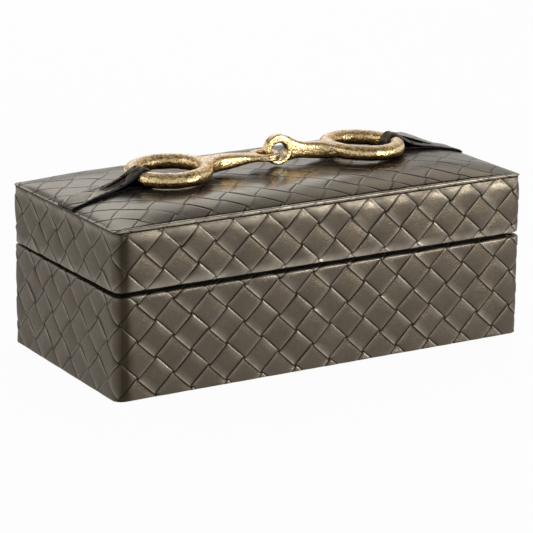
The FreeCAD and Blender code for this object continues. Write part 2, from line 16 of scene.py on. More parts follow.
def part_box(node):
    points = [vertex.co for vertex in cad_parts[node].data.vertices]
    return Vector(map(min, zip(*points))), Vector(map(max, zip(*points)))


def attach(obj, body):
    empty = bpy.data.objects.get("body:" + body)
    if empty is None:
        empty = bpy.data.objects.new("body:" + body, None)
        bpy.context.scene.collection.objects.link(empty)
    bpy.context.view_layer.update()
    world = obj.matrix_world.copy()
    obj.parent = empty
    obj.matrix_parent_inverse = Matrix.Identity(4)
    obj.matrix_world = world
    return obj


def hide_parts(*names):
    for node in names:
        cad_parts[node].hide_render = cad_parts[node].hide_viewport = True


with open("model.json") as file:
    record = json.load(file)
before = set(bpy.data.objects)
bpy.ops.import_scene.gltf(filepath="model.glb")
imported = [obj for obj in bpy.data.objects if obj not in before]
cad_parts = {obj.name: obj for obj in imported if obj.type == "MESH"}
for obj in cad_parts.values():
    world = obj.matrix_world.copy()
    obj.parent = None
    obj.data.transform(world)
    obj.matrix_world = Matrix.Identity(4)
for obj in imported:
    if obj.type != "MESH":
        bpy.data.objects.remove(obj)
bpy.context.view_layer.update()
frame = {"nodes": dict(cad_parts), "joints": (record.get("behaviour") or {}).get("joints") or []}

MM = 0.001

# %% [markdown]
# The sizes below are those of the real box. The length, the depth and the rim of the base are read
# from the frame, so that the leather always fits the boards. The lid is modelled level and is then
# tipped about the hinge by the small angle at which it rests, as on the real box.

# %% Sizes of the box
wrap_low, wrap_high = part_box("base_leather_wrap")
BOX_LENGTH = wrap_high.x - wrap_low.x
BOX_DEPTH = wrap_high.y - wrap_low.y
RIM_LEVEL = wrap_high.z
FOOT_LEVEL = wrap_low.z
CORNER_RADIUS = 6 * MM
RELIEF = 0.85 * MM
SHEET_THICKNESS = 0.4 * MM
LID_BOTTOM = RIM_LEVEL + 1 * MM
SEAM_LEVEL = LID_BOTTOM + 37.9 * MM
TOP_EDGE_LEVEL = SEAM_LEVEL + 1.5 * MM
CROWN_RISE = 7 * MM
CROWN_MARGIN = 33 * MM
CROWN_END_MARGIN = 56 * MM
RING_LEVEL = TOP_EDGE_LEVEL + CROWN_RISE + 6.3 * MM
LID_REST_ANGLE = math.radians(0.63)
HINGE = next(joint for joint in frame["joints"] if joint["name"] == "lid_hinge")
length_mm, depth_mm, rim_mm = (round(size / MM, 1) for size in (BOX_LENGTH, BOX_DEPTH, RIM_LEVEL))
print("box", length_mm, "by", depth_mm, "mm, rim at", rim_mm)

# %% [markdown]
# A few helpers come back in every step. Operators act on whatever is selected, so the selection is
# emptied first. Vertices, and the values that they carry, are read and written as one array, which
# is quick even on a fine mesh.

# %% Helpers for selections, meshes and the lid's tilt
def nothing_selected():
    """Leaves edit mode and deselects everything."""
    if bpy.context.object and bpy.context.object.mode != "OBJECT":
        bpy.ops.object.mode_set(mode="OBJECT")
    bpy.ops.object.select_all(action="DESELECT")


def only(piece):
    """Makes a piece the one selected and active object."""
    nothing_selected()
    bpy.context.view_layer.objects.active = piece
    piece.select_set(True)
    return piece


def points_of(piece):
    """The vertices of a piece as an array."""
    places = np.empty(len(piece.data.vertices) * 3)
    piece.data.vertices.foreach_get("co", places)
    return places.reshape(-1, 3)


def set_points(piece, places):
    """Moves the vertices of a piece to new places."""
    piece.data.vertices.foreach_set("co", np.ascontiguousarray(places, float).ravel())
    piece.data.update()


def values_of(piece, name):
    """The values that the vertices carry under a name."""
    values = np.empty(len(piece.data.vertices))
    piece.data.attributes[name].data.foreach_get("value", values)
    return values


def set_values(piece, name, values):
    """Gives every vertex its value under a name."""
    attributes = piece.data.attributes
    attribute = attributes.get(name) or attributes.new(name, "FLOAT", "POINT")
    attribute.data.foreach_set("value", values)


def way_along(points):
    """Distance along a line through points, at each of them."""
    steps = np.linalg.norm(np.diff(points, axis=0), axis=1)
    return np.concatenate([[0], np.cumsum(steps)])


def pick_faces(piece, chosen):
    """Selects the faces that the array marks, in object mode."""
    piece.data.vertices.foreach_set("select", np.zeros(len(piece.data.vertices), bool))
    piece.data.edges.foreach_set("select", np.zeros(len(piece.data.edges), bool))
    piece.data.polygons.foreach_set("select", np.asarray(chosen, bool))


def edit_all():
    """Enters edit mode with the whole mesh selected."""
    bpy.ops.object.mode_set(mode="EDIT")
    bpy.ops.mesh.select_all(action="SELECT")


def face_outward():
    """Turns all faces outward and leaves edit mode."""
    bpy.ops.mesh.select_all(action="SELECT")
    bpy.ops.mesh.normals_make_consistent(inside=False)
    bpy.ops.object.mode_set(mode="OBJECT")


def apply_modifiers(piece):
    """Applies every modifier of a piece, in order, and leaves the piece selected."""
    only(piece)
    for modifier in list(piece.modifiers):
        bpy.ops.object.modifier_apply(modifier=modifier.name)


def thicken(sheet):
    """Gives a bent sheet its thickness, inwards, and smooth shading."""
    thickness = sheet.modifiers.new("thickness", "SOLIDIFY")
    thickness.thickness = SHEET_THICKNESS
    thickness.offset = -1
    apply_modifiers(sheet)
    bpy.ops.object.shade_smooth()
    return sheet


def tip_with_lid(piece):
    """Tips the mesh of a piece of the lid about the hinge, from level to where the lid rests."""
    pivot = Matrix.Translation(Vector(HINGE["pos_m"]))
    piece.data.transform(pivot @ Matrix.Rotation(-LID_REST_ANGLE, 4, "X") @ pivot.inverted())
    return piece


def settle(piece, body, slot, material, *nodes):
    """Gives a finished piece its body, its finish and the frame nodes that it stands for."""
    piece.data.materials.clear()
    piece.data.materials.append(material)
    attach(piece, body)
    if nodes:
        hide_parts(*nodes)
    print(piece.name, len(piece.data.polygons), "faces")
    return piece


# %% [markdown]
# The camera stands in front of the box and to its left, a little above it, with a long lens, so
# that the upright edges stay nearly parallel. It was placed by matching the box's own corners.

# %% Camera
LENS = 189.26
SENSOR = 36.0
CAMERA_TURN = math.radians(-30.55)
CAMERA_RISE = math.radians(16.315)
CAMERA_ROLL = math.radians(0.538)
CAMERA_DISTANCE = 1833.4 * MM
CAMERA_TARGET = Vector((-1.55 * MM, 0, 48.82 * MM))


def place_camera():
    """A long-lens camera that looks at the middle of the box."""
    sight = Vector((-math.sin(CAMERA_TURN) * math.cos(CAMERA_RISE),
                    math.cos(CAMERA_TURN) * math.cos(CAMERA_RISE), -math.sin(CAMERA_RISE)))
    level = Vector((math.cos(CAMERA_TURN), math.sin(CAMERA_TURN), 0))
    upright = level.cross(sight)
    right = level * math.cos(CAMERA_ROLL) + upright * math.sin(CAMERA_ROLL)
    up = upright * math.cos(CAMERA_ROLL) - level * math.sin(CAMERA_ROLL)
    nothing_selected()
    bpy.ops.object.camera_add()
    camera = bpy.context.object
    camera.name = "camera"
    camera.data.lens = LENS
    camera.data.sensor_width = SENSOR
    camera.data.clip_end = 20
    turn = Matrix((right, up, -sight)).transposed().to_4x4()
    camera.matrix_world = Matrix.Translation(CAMERA_TARGET - sight * CAMERA_DISTANCE) @ turn
    bpy.context.scene.camera = camera
    return camera


place_camera()
print("camera at", [round(c, 3) for c in bpy.context.scene.camera.matrix_world.translation])

# %% [markdown]
# A product picture is lit by large soft lamps in a white room. The floor is a pale sweep, and the
# camera sees both as white. The metal and the glossy leather mirror a pale grey room instead, dimmer
# overhead and in front of the box. The light that the room throws on the box is plain and lower.

# %% Material and node helpers
def new_material(name):
    """A node material, its tree and its Principled shader."""
    material = bpy.data.materials.new(name)
    material.use_nodes = True
    tree = material.node_tree
    return material, tree, tree.nodes["Principled BSDF"]


def fill(tree, target, inputs):
    """Links or sets inputs of a node."""
    for name, value in inputs.items():
        if isinstance(value, bpy.types.NodeSocket):
            tree.links.new(value, target.inputs[name])
        else:
            target.inputs[name].default_value = value


def node(tree, kind, inputs=None, **settings):
    """Adds a node, sets its properties, and links or sets its inputs."""
    added = tree.nodes.new(kind)
    for name, value in settings.items():
        setattr(added, name, value)
    fill(tree, added, inputs or {})
    return added


def noise(tree, places, scale, detail=3.0, roughness=0.5):
    """Soft random values over the surface."""
    return node(tree, "ShaderNodeTexNoise", {"Vector": places, "Scale": scale, "Detail": detail,
                                             "Roughness": roughness}).outputs["Fac"]


def ramp(tree, value, *stops):
    """Turns a value into a colour or a level through places and colours."""
    made = node(tree, "ShaderNodeValToRGB", {"Fac": value})
    elements = made.color_ramp.elements
    while len(elements) < len(stops):
        elements.new(1.0)
    for element, (place, colour) in zip(elements, stops):
        element.position = place
        element.color = (*colour, 1)
    return made.outputs["Color"]


def grey(level):
    """A grey of one level, for a ramp."""
    return (level, level, level)


def mix(tree, kind, share, first, second):
    """Blends two colours, each a link or three levels."""
    first, second = (colour if isinstance(colour, bpy.types.NodeSocket) else (*colour, 1)
                     for colour in (first, second))
    inputs = {0: share, 6: first, 7: second}
    return node(tree, "ShaderNodeMix", inputs, data_type="RGBA", blend_type=kind).outputs[2]


def arithmetic(tree, operation, first, second=0.0):
    """One sum on two values."""
    return node(tree, "ShaderNodeMath", {0: first, 1: second}, operation=operation).outputs[0]


def bump(tree, height, strength, distance, under=None):
    """Fine relief in the shading."""
    inputs = {"Height": height, "Strength": strength, "Distance": distance}
    if under:
        inputs["Normal"] = under
    return node(tree, "ShaderNodeBump", inputs).outputs["Normal"]


def object_places(tree):
    """The place on the piece, in metres."""
    return node(tree, "ShaderNodeTexCoord").outputs["Object"]


# %% Floor, background and lamps
FLOOR_SIZE = 12.0
ROOM_LEVEL = 0.75
FLOOR_SHADE_SHARE = 0.035
FLOOR_MIRROR_SHARE = 0.86
FRONT_ROOM_SHARE = 0.62


def light_path_share(tree):
    """One where a camera, glossy or transmission ray looks, and nothing for other rays."""
    path = node(tree, "ShaderNodeLightPath")
    seen = arithmetic(tree, "MAXIMUM", path.outputs["Is Camera Ray"], path.outputs["Is Glossy Ray"])
    return arithmetic(tree, "MAXIMUM", seen, path.outputs["Is Transmission Ray"])


def white_room():
    """A world that looks white, with a dimmer ceiling over the box and a dimmer room in front of it."""
    world = bpy.data.worlds.new("studio")
    bpy.context.scene.world = world
    world.use_nodes = True
    tree = world.node_tree
    path = node(tree, "ShaderNodeLightPath")
    direction = node(tree, "ShaderNodeTexCoord").outputs["Generated"]
    parts = node(tree, "ShaderNodeSeparateXYZ", {"Vector": direction}).outputs
    room = ramp(tree, parts["Z"], (0.0, grey(0.80)), (0.42, grey(0.80)), (0.80, grey(0.40)))
    towards_back = arithmetic(tree, "ADD", parts["Y"], 1.0)
    front = ramp(tree, towards_back, (0.30, grey(FRONT_ROOM_SHARE)), (0.95, grey(1.0)))
    room = mix(tree, "MULTIPLY", 1.0, room, front)
    colour = mix(tree, "MIX", path.outputs["Is Camera Ray"], room, (1, 1, 1))
    level = arithmetic(tree, "MULTIPLY", light_path_share(tree), 1 - ROOM_LEVEL)
    strength = arithmetic(tree, "ADD", level, ROOM_LEVEL)
    fill(tree, tree.nodes["Background"], {"Color": colour, "Strength": strength})


def pale_floor():
    """A white sweep under the box, which keeps the box's shadow."""
    nothing_selected()
    bpy.ops.mesh.primitive_plane_add(size=FLOOR_SIZE)
    floor = bpy.context.object
    floor.name = "floor"
    material, tree, shader = new_material("floor_paper")
    tone = noise(tree, object_places(tree), 40.0)
    colour = ramp(tree, tone, (0.0, grey(0.93)), (1.0, grey(0.95)))
    fill(tree, shader, {"Base Color": colour, "Roughness": 0.9, "Specular IOR Level": 0.0})
    glow = node(tree, "ShaderNodeEmission", {"Color": (1, 1, 1, 1), "Strength": 1.0})
    path = node(tree, "ShaderNodeLightPath")
    seen = arithmetic(tree, "MULTIPLY", path.outputs["Is Camera Ray"], 1 - FLOOR_SHADE_SHARE)
    mirrored = arithmetic(tree, "MULTIPLY", light_path_share(tree), FLOOR_MIRROR_SHARE)
    share = arithmetic(tree, "MAXIMUM", seen, mirrored)
    blend = node(tree, "ShaderNodeMixShader", {0: share, 1: shader.outputs[0], 2: glow.outputs[0]})
    tree.links.new(blend.outputs[0], tree.nodes["Material Output"].inputs["Surface"])
    floor.data.materials.append(material)
    return floor


def soft_lamp(name, place, size, power, tint):
    """A square soft lamp aimed at the middle of the box."""
    nothing_selected()
    bpy.ops.object.light_add(type="AREA", location=place)
    lamp = bpy.context.object
    lamp.name = name
    lamp.data.shape = "SQUARE"
    lamp.data.size = size
    lamp.data.energy = power
    lamp.data.color = tint
    lamp.rotation_euler = (CAMERA_TARGET - lamp.location).to_track_quat("-Z", "Y").to_euler()
    return lamp


white_room()
pale_floor()
WARM = (1.0, 0.95, 0.86)
COOL = (0.93, 0.97, 1.0)
soft_lamp("lamp_right", (0.62, -0.90, 0.21), 0.32, 3.2, WARM)
soft_lamp("lamp_left", (-1.3, 0.3, 0.9), 0.6, 0.8, COOL)
soft_lamp("lamp_behind", (0.5, 1.3, 0.9), 0.8, 4, COOL)
soft_lamp("lamp_sheen", (0.66, 0.45, 0.68), 0.4, 0.55, WARM)
bpy.context.scene.view_settings.view_transform = "Standard"

# %% [markdown]
# The leather is a basket weave: flat strips about seventeen millimetres wide run slantwise both
# ways, over one and under one. Each strip is a little pillow between its crossings. Its long sides
# end in a steep step, and its ends dip under the strips that cross it. A plain grid can't give
# that, so the sheet is laid out in code as a net whose lines follow the strips. Near the strip
# edges the net is finer. The sheet starts flat, as leather on the bench, and is trimmed flat.

# %% The flat net of woven strips
EDGE_SHARES = (0.0, 0.017, 0.042, 0.080, 0.16, 0.32)
CELL_SHARES = EDGE_SHARES + (0.5,) + tuple(1 - share for share in EDGE_SHARES[:0:-1])
STEPS = len(CELL_SHARES)
STRIP_WIDTH = 17.5 * MM
STEP_WIDTH = 0.6 * MM
DIP_REACH = 4.5 * MM
DIP_SHARE = 0.6
PILLOW_SHARE = 0.42
FOOT_SHARE = 0.12
LIP_SHARE = 0.10
STAGGER_SHARE = 0.030
SHOULDER_SHARE = 0.03
RISING_HIGHLIGHT_SHARE = 0.45
CELL_SEED = 11
CELL_LEVEL = 0.06
CELLS_EACH_WAY = 60
SHEET_END = 30 * MM
# Where the strip gets painted highlight or painted shade: distance from its side or end in millimetres, and
# how much
HIGHLIGHT_SHARES = ((0, 0.0), (0.3, 0.8), (0.75, 1.0), (1.3, 0.42), (3.0, 0.2), (6.0, 0.0))
SHADED_SHARES = ((0, 1.0), (0.3, 0.6), (0.75, 0.3), (1.3, 0.12), (2.5, 0.0))


def strip_height(across, along, fullness):
    """Height of the upper strip in its cell, and its painted light: one for a painted highlight at its
    sides, nothing for painted shade in a crease.
    """
    side = np.minimum(across, 1 - across) * STRIP_WIDTH
    end = np.minimum(along, 1 - along) * STRIP_WIDTH
    step = np.sqrt(np.clip(1 - (1 - np.clip(side / STEP_WIDTH, 0, 1)) ** 2, 0, 1))
    lip = LIP_SHARE * np.clip(1 - abs(side / MM - 0.7) / 1.1, 0, 1)
    dip = 1 - DIP_SHARE * fullness * np.clip(1 - end / DIP_REACH, 0, 1) ** 2
    pillow = 1 - PILLOW_SHARE * fullness * (1 - (np.sin(math.pi * across) * np.sin(math.pi * along)) ** 0.7)
    height = FOOT_SHARE + (dip * pillow + lip - FOOT_SHARE) * step
    # Painted highlight along the strip's sides, and painted shade towards its ends and in its creases
    highlight = np.interp(side / MM, *zip(*HIGHLIGHT_SHARES)) * (1 - np.clip(1 - end / MM, 0, 1))
    shaded = np.interp(end / MM, *zip(*SHADED_SHARES))
    highlight_and_shade = 0.5 + 0.5 * highlight * (1 - shaded) - 0.5 * shaded
    crease = (side <= 0) | (end <= 0)
    height[crease] = FOOT_SHARE
    highlight_and_shade[crease] = 0
    return height, highlight_and_shade


def shoulder(share):
    """Zero at both ends of a cell side and one along its middle."""
    return np.clip(np.minimum(share, 1 - share) / SHOULDER_SHARE, 0, 1)


def woven_net(name, low, high, to_plane, relief=RELIEF, fullness=1.0):
    """The flat sheet between two corners. to_plane turns strip coordinates into places on it."""
    low, high = np.array(low), np.array(high)
    whole = np.arange(-CELLS_EACH_WAY, CELLS_EACH_WAY + 1)
    uneven = np.random.default_rng(CELL_SEED).uniform(-1, 1, (2, len(whole), len(whole)))
    rows = np.stack(to_plane(*np.meshgrid(whole, whole, indexing="ij")), -1)
    wanted = ((rows > low - 2 * STRIP_WIDTH) & (rows < high + 2 * STRIP_WIDTH)).all(-1)
    used_cells = whole[wanted.any(0) | wanted.any(1)]
    index = np.arange(used_cells.min() * STEPS, used_cells.max() * STEPS + 1)
    shares = np.array(CELL_SHARES)[index % STEPS]
    cells = index // STEPS
    u_index, v_index = np.meshgrid(np.arange(len(index)), np.arange(len(index)), indexing="ij")
    plane = np.stack(to_plane((cells + shares)[u_index], (cells + shares)[v_index]), -1)
    near = ((plane > low - STRIP_WIDTH) & (plane < high + STRIP_WIDTH)).all(-1)
    u_index, v_index = np.nonzero(near)
    across, along = shares[u_index], shares[v_index]
    falling = (cells[u_index] + cells[v_index]) % 2 == 1
    height, highlight_and_shade = np.where(falling, strip_height(across, along, fullness),
                            strip_height(along, across, fullness))
    # The strips that run the other way keep less of their painted highlight
    highlight_and_shade = np.where(falling | (highlight_and_shade < 0.5), highlight_and_shade, 0.5 + RISING_HIGHLIGHT_SHARE * (highlight_and_shade - 0.5))
    lean_u, lean_v = uneven[:, cells[u_index] - whole[0], cells[v_index] - whole[0]]
    to_border = np.clip(np.minimum.reduce([across, 1 - across, along, 1 - along]) / CELL_LEVEL, 0, 1)
    to_end = np.clip((high[0] - abs(plane[u_index, v_index, 0])) / SHEET_END, 0, 1)
    height += to_border * to_end * (lean_u * (across - 0.5) + lean_v * (along - 0.5))
    turn = np.where(falling, 1, -1) * STAGGER_SHARE
    u_place = (cells + shares)[u_index] + turn * shoulder(along) * (2 * across - 1)
    v_place = (cells + shares)[v_index] - turn * shoulder(across) * (2 * along - 1)
    s, t = to_plane(u_place, v_place)
    number = np.full(near.shape, -1)
    number[near] = np.arange(len(u_index))
    quads = np.stack([number[:-1, :-1], number[1:, :-1], number[1:, 1:], number[:-1, 1:]], -1)
    quads = quads.reshape(-1, 4)
    quads = quads[(quads >= 0).all(1)]
    corners = np.stack([s, t], 1)[quads]
    inside = ((corners.max(1) > low) & (corners.min(1) < high)).all(1)
    quads = quads[inside]
    used, quads = np.unique(quads, return_inverse=True)
    quads = quads.reshape(-1, 4)
    places = np.stack([s, t, (height - 1) * relief], 1)[used]
    first = places[quads[0]]
    if np.cross(first[1] - first[0], first[3] - first[0])[2] < 0:
        quads = quads[:, ::-1]
    mesh = bpy.data.meshes.new(name)
    mesh.from_pydata(places.tolist(), [], quads.tolist())
    sheet = bpy.data.objects.new(name, mesh)
    bpy.context.scene.collection.objects.link(sheet)
    set_values(sheet, "highlight_and_shade", highlight_and_shade[used])
    print(name, "flat net of", len(quads), "faces")
    return sheet


def cut_lines(sheet, axis, lines, keep_low=None, keep_high=None):
    """Cuts the flat sheet along straight lines, and trims it at the two limits."""
    only(sheet)
    bpy.ops.object.mode_set(mode="EDIT")
    normal = (1, 0, 0) if axis == 0 else (0, 1, 0)
    for line in lines:
        bpy.ops.mesh.select_all(action="SELECT")
        bpy.ops.mesh.bisect(plane_co=tuple(line * c for c in normal), plane_no=normal)
    for line, side in ((keep_low, "clear_inner"), (keep_high, "clear_outer")):
        if line is not None:
            bpy.ops.mesh.select_all(action="SELECT")
            bpy.ops.mesh.bisect(plane_co=tuple(line * c for c in normal), plane_no=normal, **{side: True})
    bpy.ops.object.mode_set(mode="OBJECT")


# %% [markdown]
# On the box, one long sheet goes round the four walls. A place on the flat sheet is a way round the
# box and a way up its profile. The profile comes from under the floor, up the wall, over the rolled
# edge and on to the rim, and both turns keep the weave. Corners of the wall have the radius of the
# boards under them.

# %% Wrapping a flat sheet round the box
HALF_LENGTH = BOX_LENGTH / 2 - CORNER_RADIUS
HALF_DEPTH = BOX_DEPTH / 2 - CORNER_RADIUS
CORNER_RUN = math.pi / 2 * CORNER_RADIUS
CORNER_STARTS = (-HALF_LENGTH - CORNER_RUN, HALF_LENGTH, HALF_LENGTH + CORNER_RUN + 2 * HALF_DEPTH,
                 -HALF_LENGTH - 2 * CORNER_RUN - 2 * HALF_DEPTH)
ROUND = 4 * (HALF_LENGTH + HALF_DEPTH) + 4 * CORNER_RUN
TIGHTEST_CORNER = 0.3 * MM
CORNER_SHADE_PLACES = (-HALF_LENGTH, HALF_LENGTH + CORNER_RUN, CORNER_STARTS[2] + CORNER_RUN, CORNER_STARTS[3])
CORNER_SHADE_REACH = 4.4 * MM
SHORT_SIDE_PAINTED_SHARE = 0.6
PROFILE_NEAR = 0.25 * MM
WALL_DOUBLES = 0.004 * MM
SEEN_LOW = -290 * MM
SEEN_HIGH = 150 * MM


def way_round(s, inset):
    """Plan place and outward direction at a way round the box, at an inset from its face."""
    stops = np.cumsum([-ROUND / 2, HALF_LENGTH, CORNER_RUN, 2 * HALF_DEPTH, CORNER_RUN, 2 * HALF_LENGTH,
                       CORNER_RUN, 2 * HALF_DEPTH, CORNER_RUN, HALF_LENGTH])
    core_x = np.interp(s, stops, np.array([0, -1, -1, -1, -1, 1, 1, 1, 1, 0]) * HALF_LENGTH)
    core_y = np.interp(s, stops, np.array([1, 1, 1, -1, -1, -1, -1, 1, 1, 1]) * HALF_DEPTH)
    turn = np.radians(np.interp(s, stops, [-270, -270, -180, -180, -90, -90, 0, 0, 90, 90]))
    radius = np.maximum(CORNER_RADIUS - inset, TIGHTEST_CORNER)
    core_x = core_x * (BOX_LENGTH / 2 - inset - radius) / HALF_LENGTH
    core_y = core_y * (BOX_DEPTH / 2 - inset - radius) / HALF_DEPTH
    return core_x + radius * np.cos(turn), core_y + radius * np.sin(turn)


def arc(middle_inset, middle_level, radius, start, end, count=12):
    """Points of a rolled edge in the profile, as inset and level."""
    turns = np.radians(np.linspace(start, end, count + 1))
    return [(middle_inset - radius * math.cos(turn), middle_level + radius * math.sin(turn))
            for turn in turns]


class Profile:
    """The way from the inner turn, up the wall, to the other turn."""

    def __init__(self, points, wall_level):
        self.points = np.array(points)
        self.way = way_along(self.points)
        levels = self.points[:, 1]
        passed = next(index for index in range(len(levels) - 1)
                      if levels[index] < wall_level <= levels[index + 1])
        share = (wall_level - levels[passed]) / (levels[passed + 1] - levels[passed])
        step = np.linalg.norm(self.points[passed + 1] - self.points[passed])
        self.way += wall_level - self.way[passed] - step * share

    def at(self, way):
        """Inset, level and outward direction at a way along the profile."""
        inset = np.interp(way, self.way, self.points[:, 0])
        level = np.interp(way, self.way, self.points[:, 1])
        ahead = [np.interp(way + PROFILE_NEAR, self.way, self.points[:, k]) for k in (0, 1)]
        behind = [np.interp(way - PROFILE_NEAR, self.way, self.points[:, k]) for k in (0, 1)]
        along_inset, along_level = ahead[0] - behind[0], ahead[1] - behind[1]
        size = np.maximum(np.hypot(along_inset, along_level), 1e-9)
        return inset, level, -along_level / size, along_inset / size


def wrap_round(sheet, profile, highlight_and_shade_bands, fullness):
    """Bends the flat sheet round the box, with painted shade along its corners and bands of painted
    highlight and shade along its profile, and closes it on itself.
    """
    s, way, depth = points_of(sheet).T
    depth = depth * np.interp(way, *zip(*fullness))
    # Painted shade in a band along each rounded corner
    away = np.min([abs(s - place) for place in CORNER_SHADE_PLACES], axis=0)
    corner_shade = np.exp(-(away / CORNER_SHADE_REACH) ** 2)
    highlight_and_shade = values_of(sheet, "highlight_and_shade")
    inset, level, out_inset, out_level = profile.at(way)
    x, y = way_round(s, inset + depth * out_inset)
    short_side = np.clip((abs(x) - HALF_LENGTH) / CORNER_RADIUS, 0, 1)
    # Painted highlight and shade in bands along the profile, and less of both on the short sides
    highlight_and_shade += np.interp(way, *zip(*highlight_and_shade_bands))
    highlight_and_shade += (0.5 - highlight_and_shade) * short_side * (1 - SHORT_SIDE_PAINTED_SHARE)
    set_values(sheet, "highlight_and_shade", highlight_and_shade)
    set_values(sheet, "corner_shade", corner_shade)
    set_points(sheet, np.stack([x, y, level + depth * out_level], 1))
    only(sheet)
    edit_all()
    bpy.ops.mesh.remove_doubles(threshold=WALL_DOUBLES)
    bpy.ops.object.mode_set(mode="OBJECT")


def wall_lattice(mark_s, mark_level, pitch, row, climb, cells_round):
    """Strip coordinates to places on the wall sheet. The pitch changes behind, so that the sheet closes."""
    seen = SEEN_HIGH - SEEN_LOW
    hidden = ROUND - seen
    hidden_pitch = hidden / (cells_round - seen / pitch)
    hidden_climb = (2 * row - climb * seen) / hidden
    stops_s = np.array([SEEN_LOW - ROUND, SEEN_LOW, SEEN_HIGH, SEEN_HIGH + ROUND])
    from_mark = np.array([SEEN_LOW, SEEN_LOW, SEEN_HIGH, SEEN_HIGH]) - mark_s
    rounds = np.array([-ROUND, 0, 0, ROUND])
    stops_a = from_mark / pitch + rounds / hidden_pitch
    stops_rise = from_mark * climb + rounds * hidden_climb

    def to_plane(u, v):
        s = np.interp((u + v) / 2, stops_a, stops_s)
        return s, mark_level + np.interp(s, stops_s, stops_rise) + (u - v) * row
    return to_plane


# %% [markdown]
# The base wrap is the first sheet. It is cut where the corners and the rolled edges will bend, so
# that the bends come out round, and it is turned over the rim and under the floor.

# %% Base wrap
BEND_CUTS = 7
CELLS_ROUND = 35
TURN_UNDER = 12 * MM
RIM_WIDTH = 7.2 * MM
RIM_ROLL = 1.3 * MM
FOOT_ROLL = 0.8 * MM
MORTISE_X = 90 * MM
MORTISE_WIDTH = 30.2 * MM
MORTISE_FOOT = RIM_LEVEL - 1.2 * MM
MORTISE_HEAD = LID_BOTTOM + 1.2 * MM


def corner_cuts():
    """Where the sheet is cut so that each wall corner bends smoothly."""
    return [start + CORNER_RUN * index / BEND_CUTS
            for start in CORNER_STARTS for index in range(BEND_CUTS + 1)]


def cut_mortises(sheet, low, high):
    """Cuts the two openings for the hinges out of the flat sheet, on the back of the box."""
    middles = [side * (ROUND / 2 - MORTISE_X) for side in (-1, 1)]
    cut_lines(sheet, 0, [middle + side * MORTISE_WIDTH / 2 for middle in middles for side in (-1, 1)])
    cut_lines(sheet, 1, [line for line in (low, high) if line is not None])
    corners = points_of(sheet)
    faces = sheet.data.polygons
    middle_s, middle_t = np.array([corners[list(face.vertices)].mean(0)[:2] for face in faces]).T
    across = np.min([abs(middle_s - middle) for middle in middles], axis=0) < MORTISE_WIDTH / 2
    chosen = across & (middle_t > low if high is None else middle_t < high)
    pick_faces(sheet, chosen)
    bpy.ops.object.mode_set(mode="EDIT")
    bpy.ops.mesh.delete(type="FACE")
    bpy.ops.object.mode_set(mode="OBJECT")


def wrapped_sheet(name, profile, lattice, bends, highlight_and_shade_bands, fullness, mortise_low=None, mortise_high=None):
    """A woven sheet wrapped round the box. The bands of painted highlight and shade, and the fullness, hold
    ways along the profile and values.
    """
    low, high = profile.way[0], profile.way[-1]
    sheet = woven_net(name, (-ROUND / 2, low), (ROUND / 2, high), lattice)
    cut_lines(sheet, 0, corner_cuts(), -ROUND / 2, ROUND / 2)
    cut_lines(sheet, 1, bends, low, high)
    cut_mortises(sheet, mortise_low, mortise_high)
    wrap_round(sheet, profile, highlight_and_shade_bands, fullness)
    return thicken(sheet)


def base_wrap():
    """The woven leather of the base."""
    foot = FOOT_LEVEL + FOOT_ROLL
    points = [(TURN_UNDER, FOOT_LEVEL)] + arc(FOOT_ROLL, foot, FOOT_ROLL, -90, 0)
    points += arc(RIM_ROLL, RIM_LEVEL - RIM_ROLL, RIM_ROLL, 0, 90) + [(RIM_WIDTH, RIM_LEVEL)]
    profile = Profile(points, 30 * MM)
    lattice = wall_lattice(mark_s=-122.5 * MM, mark_level=50.2 * MM, pitch=25.14 * MM, row=11.95 * MM,
                           climb=0.0238, cells_round=CELLS_ROUND)
    roll_start = RIM_LEVEL - RIM_ROLL
    roll = RIM_ROLL * math.pi / 2
    bends = [roll_start + roll * share for share in (0, 0.2, 0.4, 0.6, 0.8, 1)]
    # Painted highlight along the rolled edge of the rim
    highlight_and_shade_bands = [(roll_start - MM, 0), (roll_start + 0.3 * roll, 0.42), (roll_start + 1.3 * roll, 0)]
    bends += [foot, foot - 0.4 * MM, foot - 0.8 * MM, foot - 1.25 * MM]
    fullness = [(foot, 0.2), (foot + 3 * MM, 1)]
    return wrapped_sheet("base_woven_wrap", profile, lattice, bends, highlight_and_shade_bands, fullness,
                         mortise_low=MORTISE_FOOT)


base_leather = base_wrap()

# %% Lid wrap
LID_TURN_IN = 6.6 * MM
SEAM_ROLL = 1.0 * MM
LID_ROLL = 0.8 * MM
SOFTNESS = 0.45 * MM
SOFT_REACH = 7 * MM
SOFT_SHARES = (0.0, 0.25, 0.5, 0.75, 1.0)


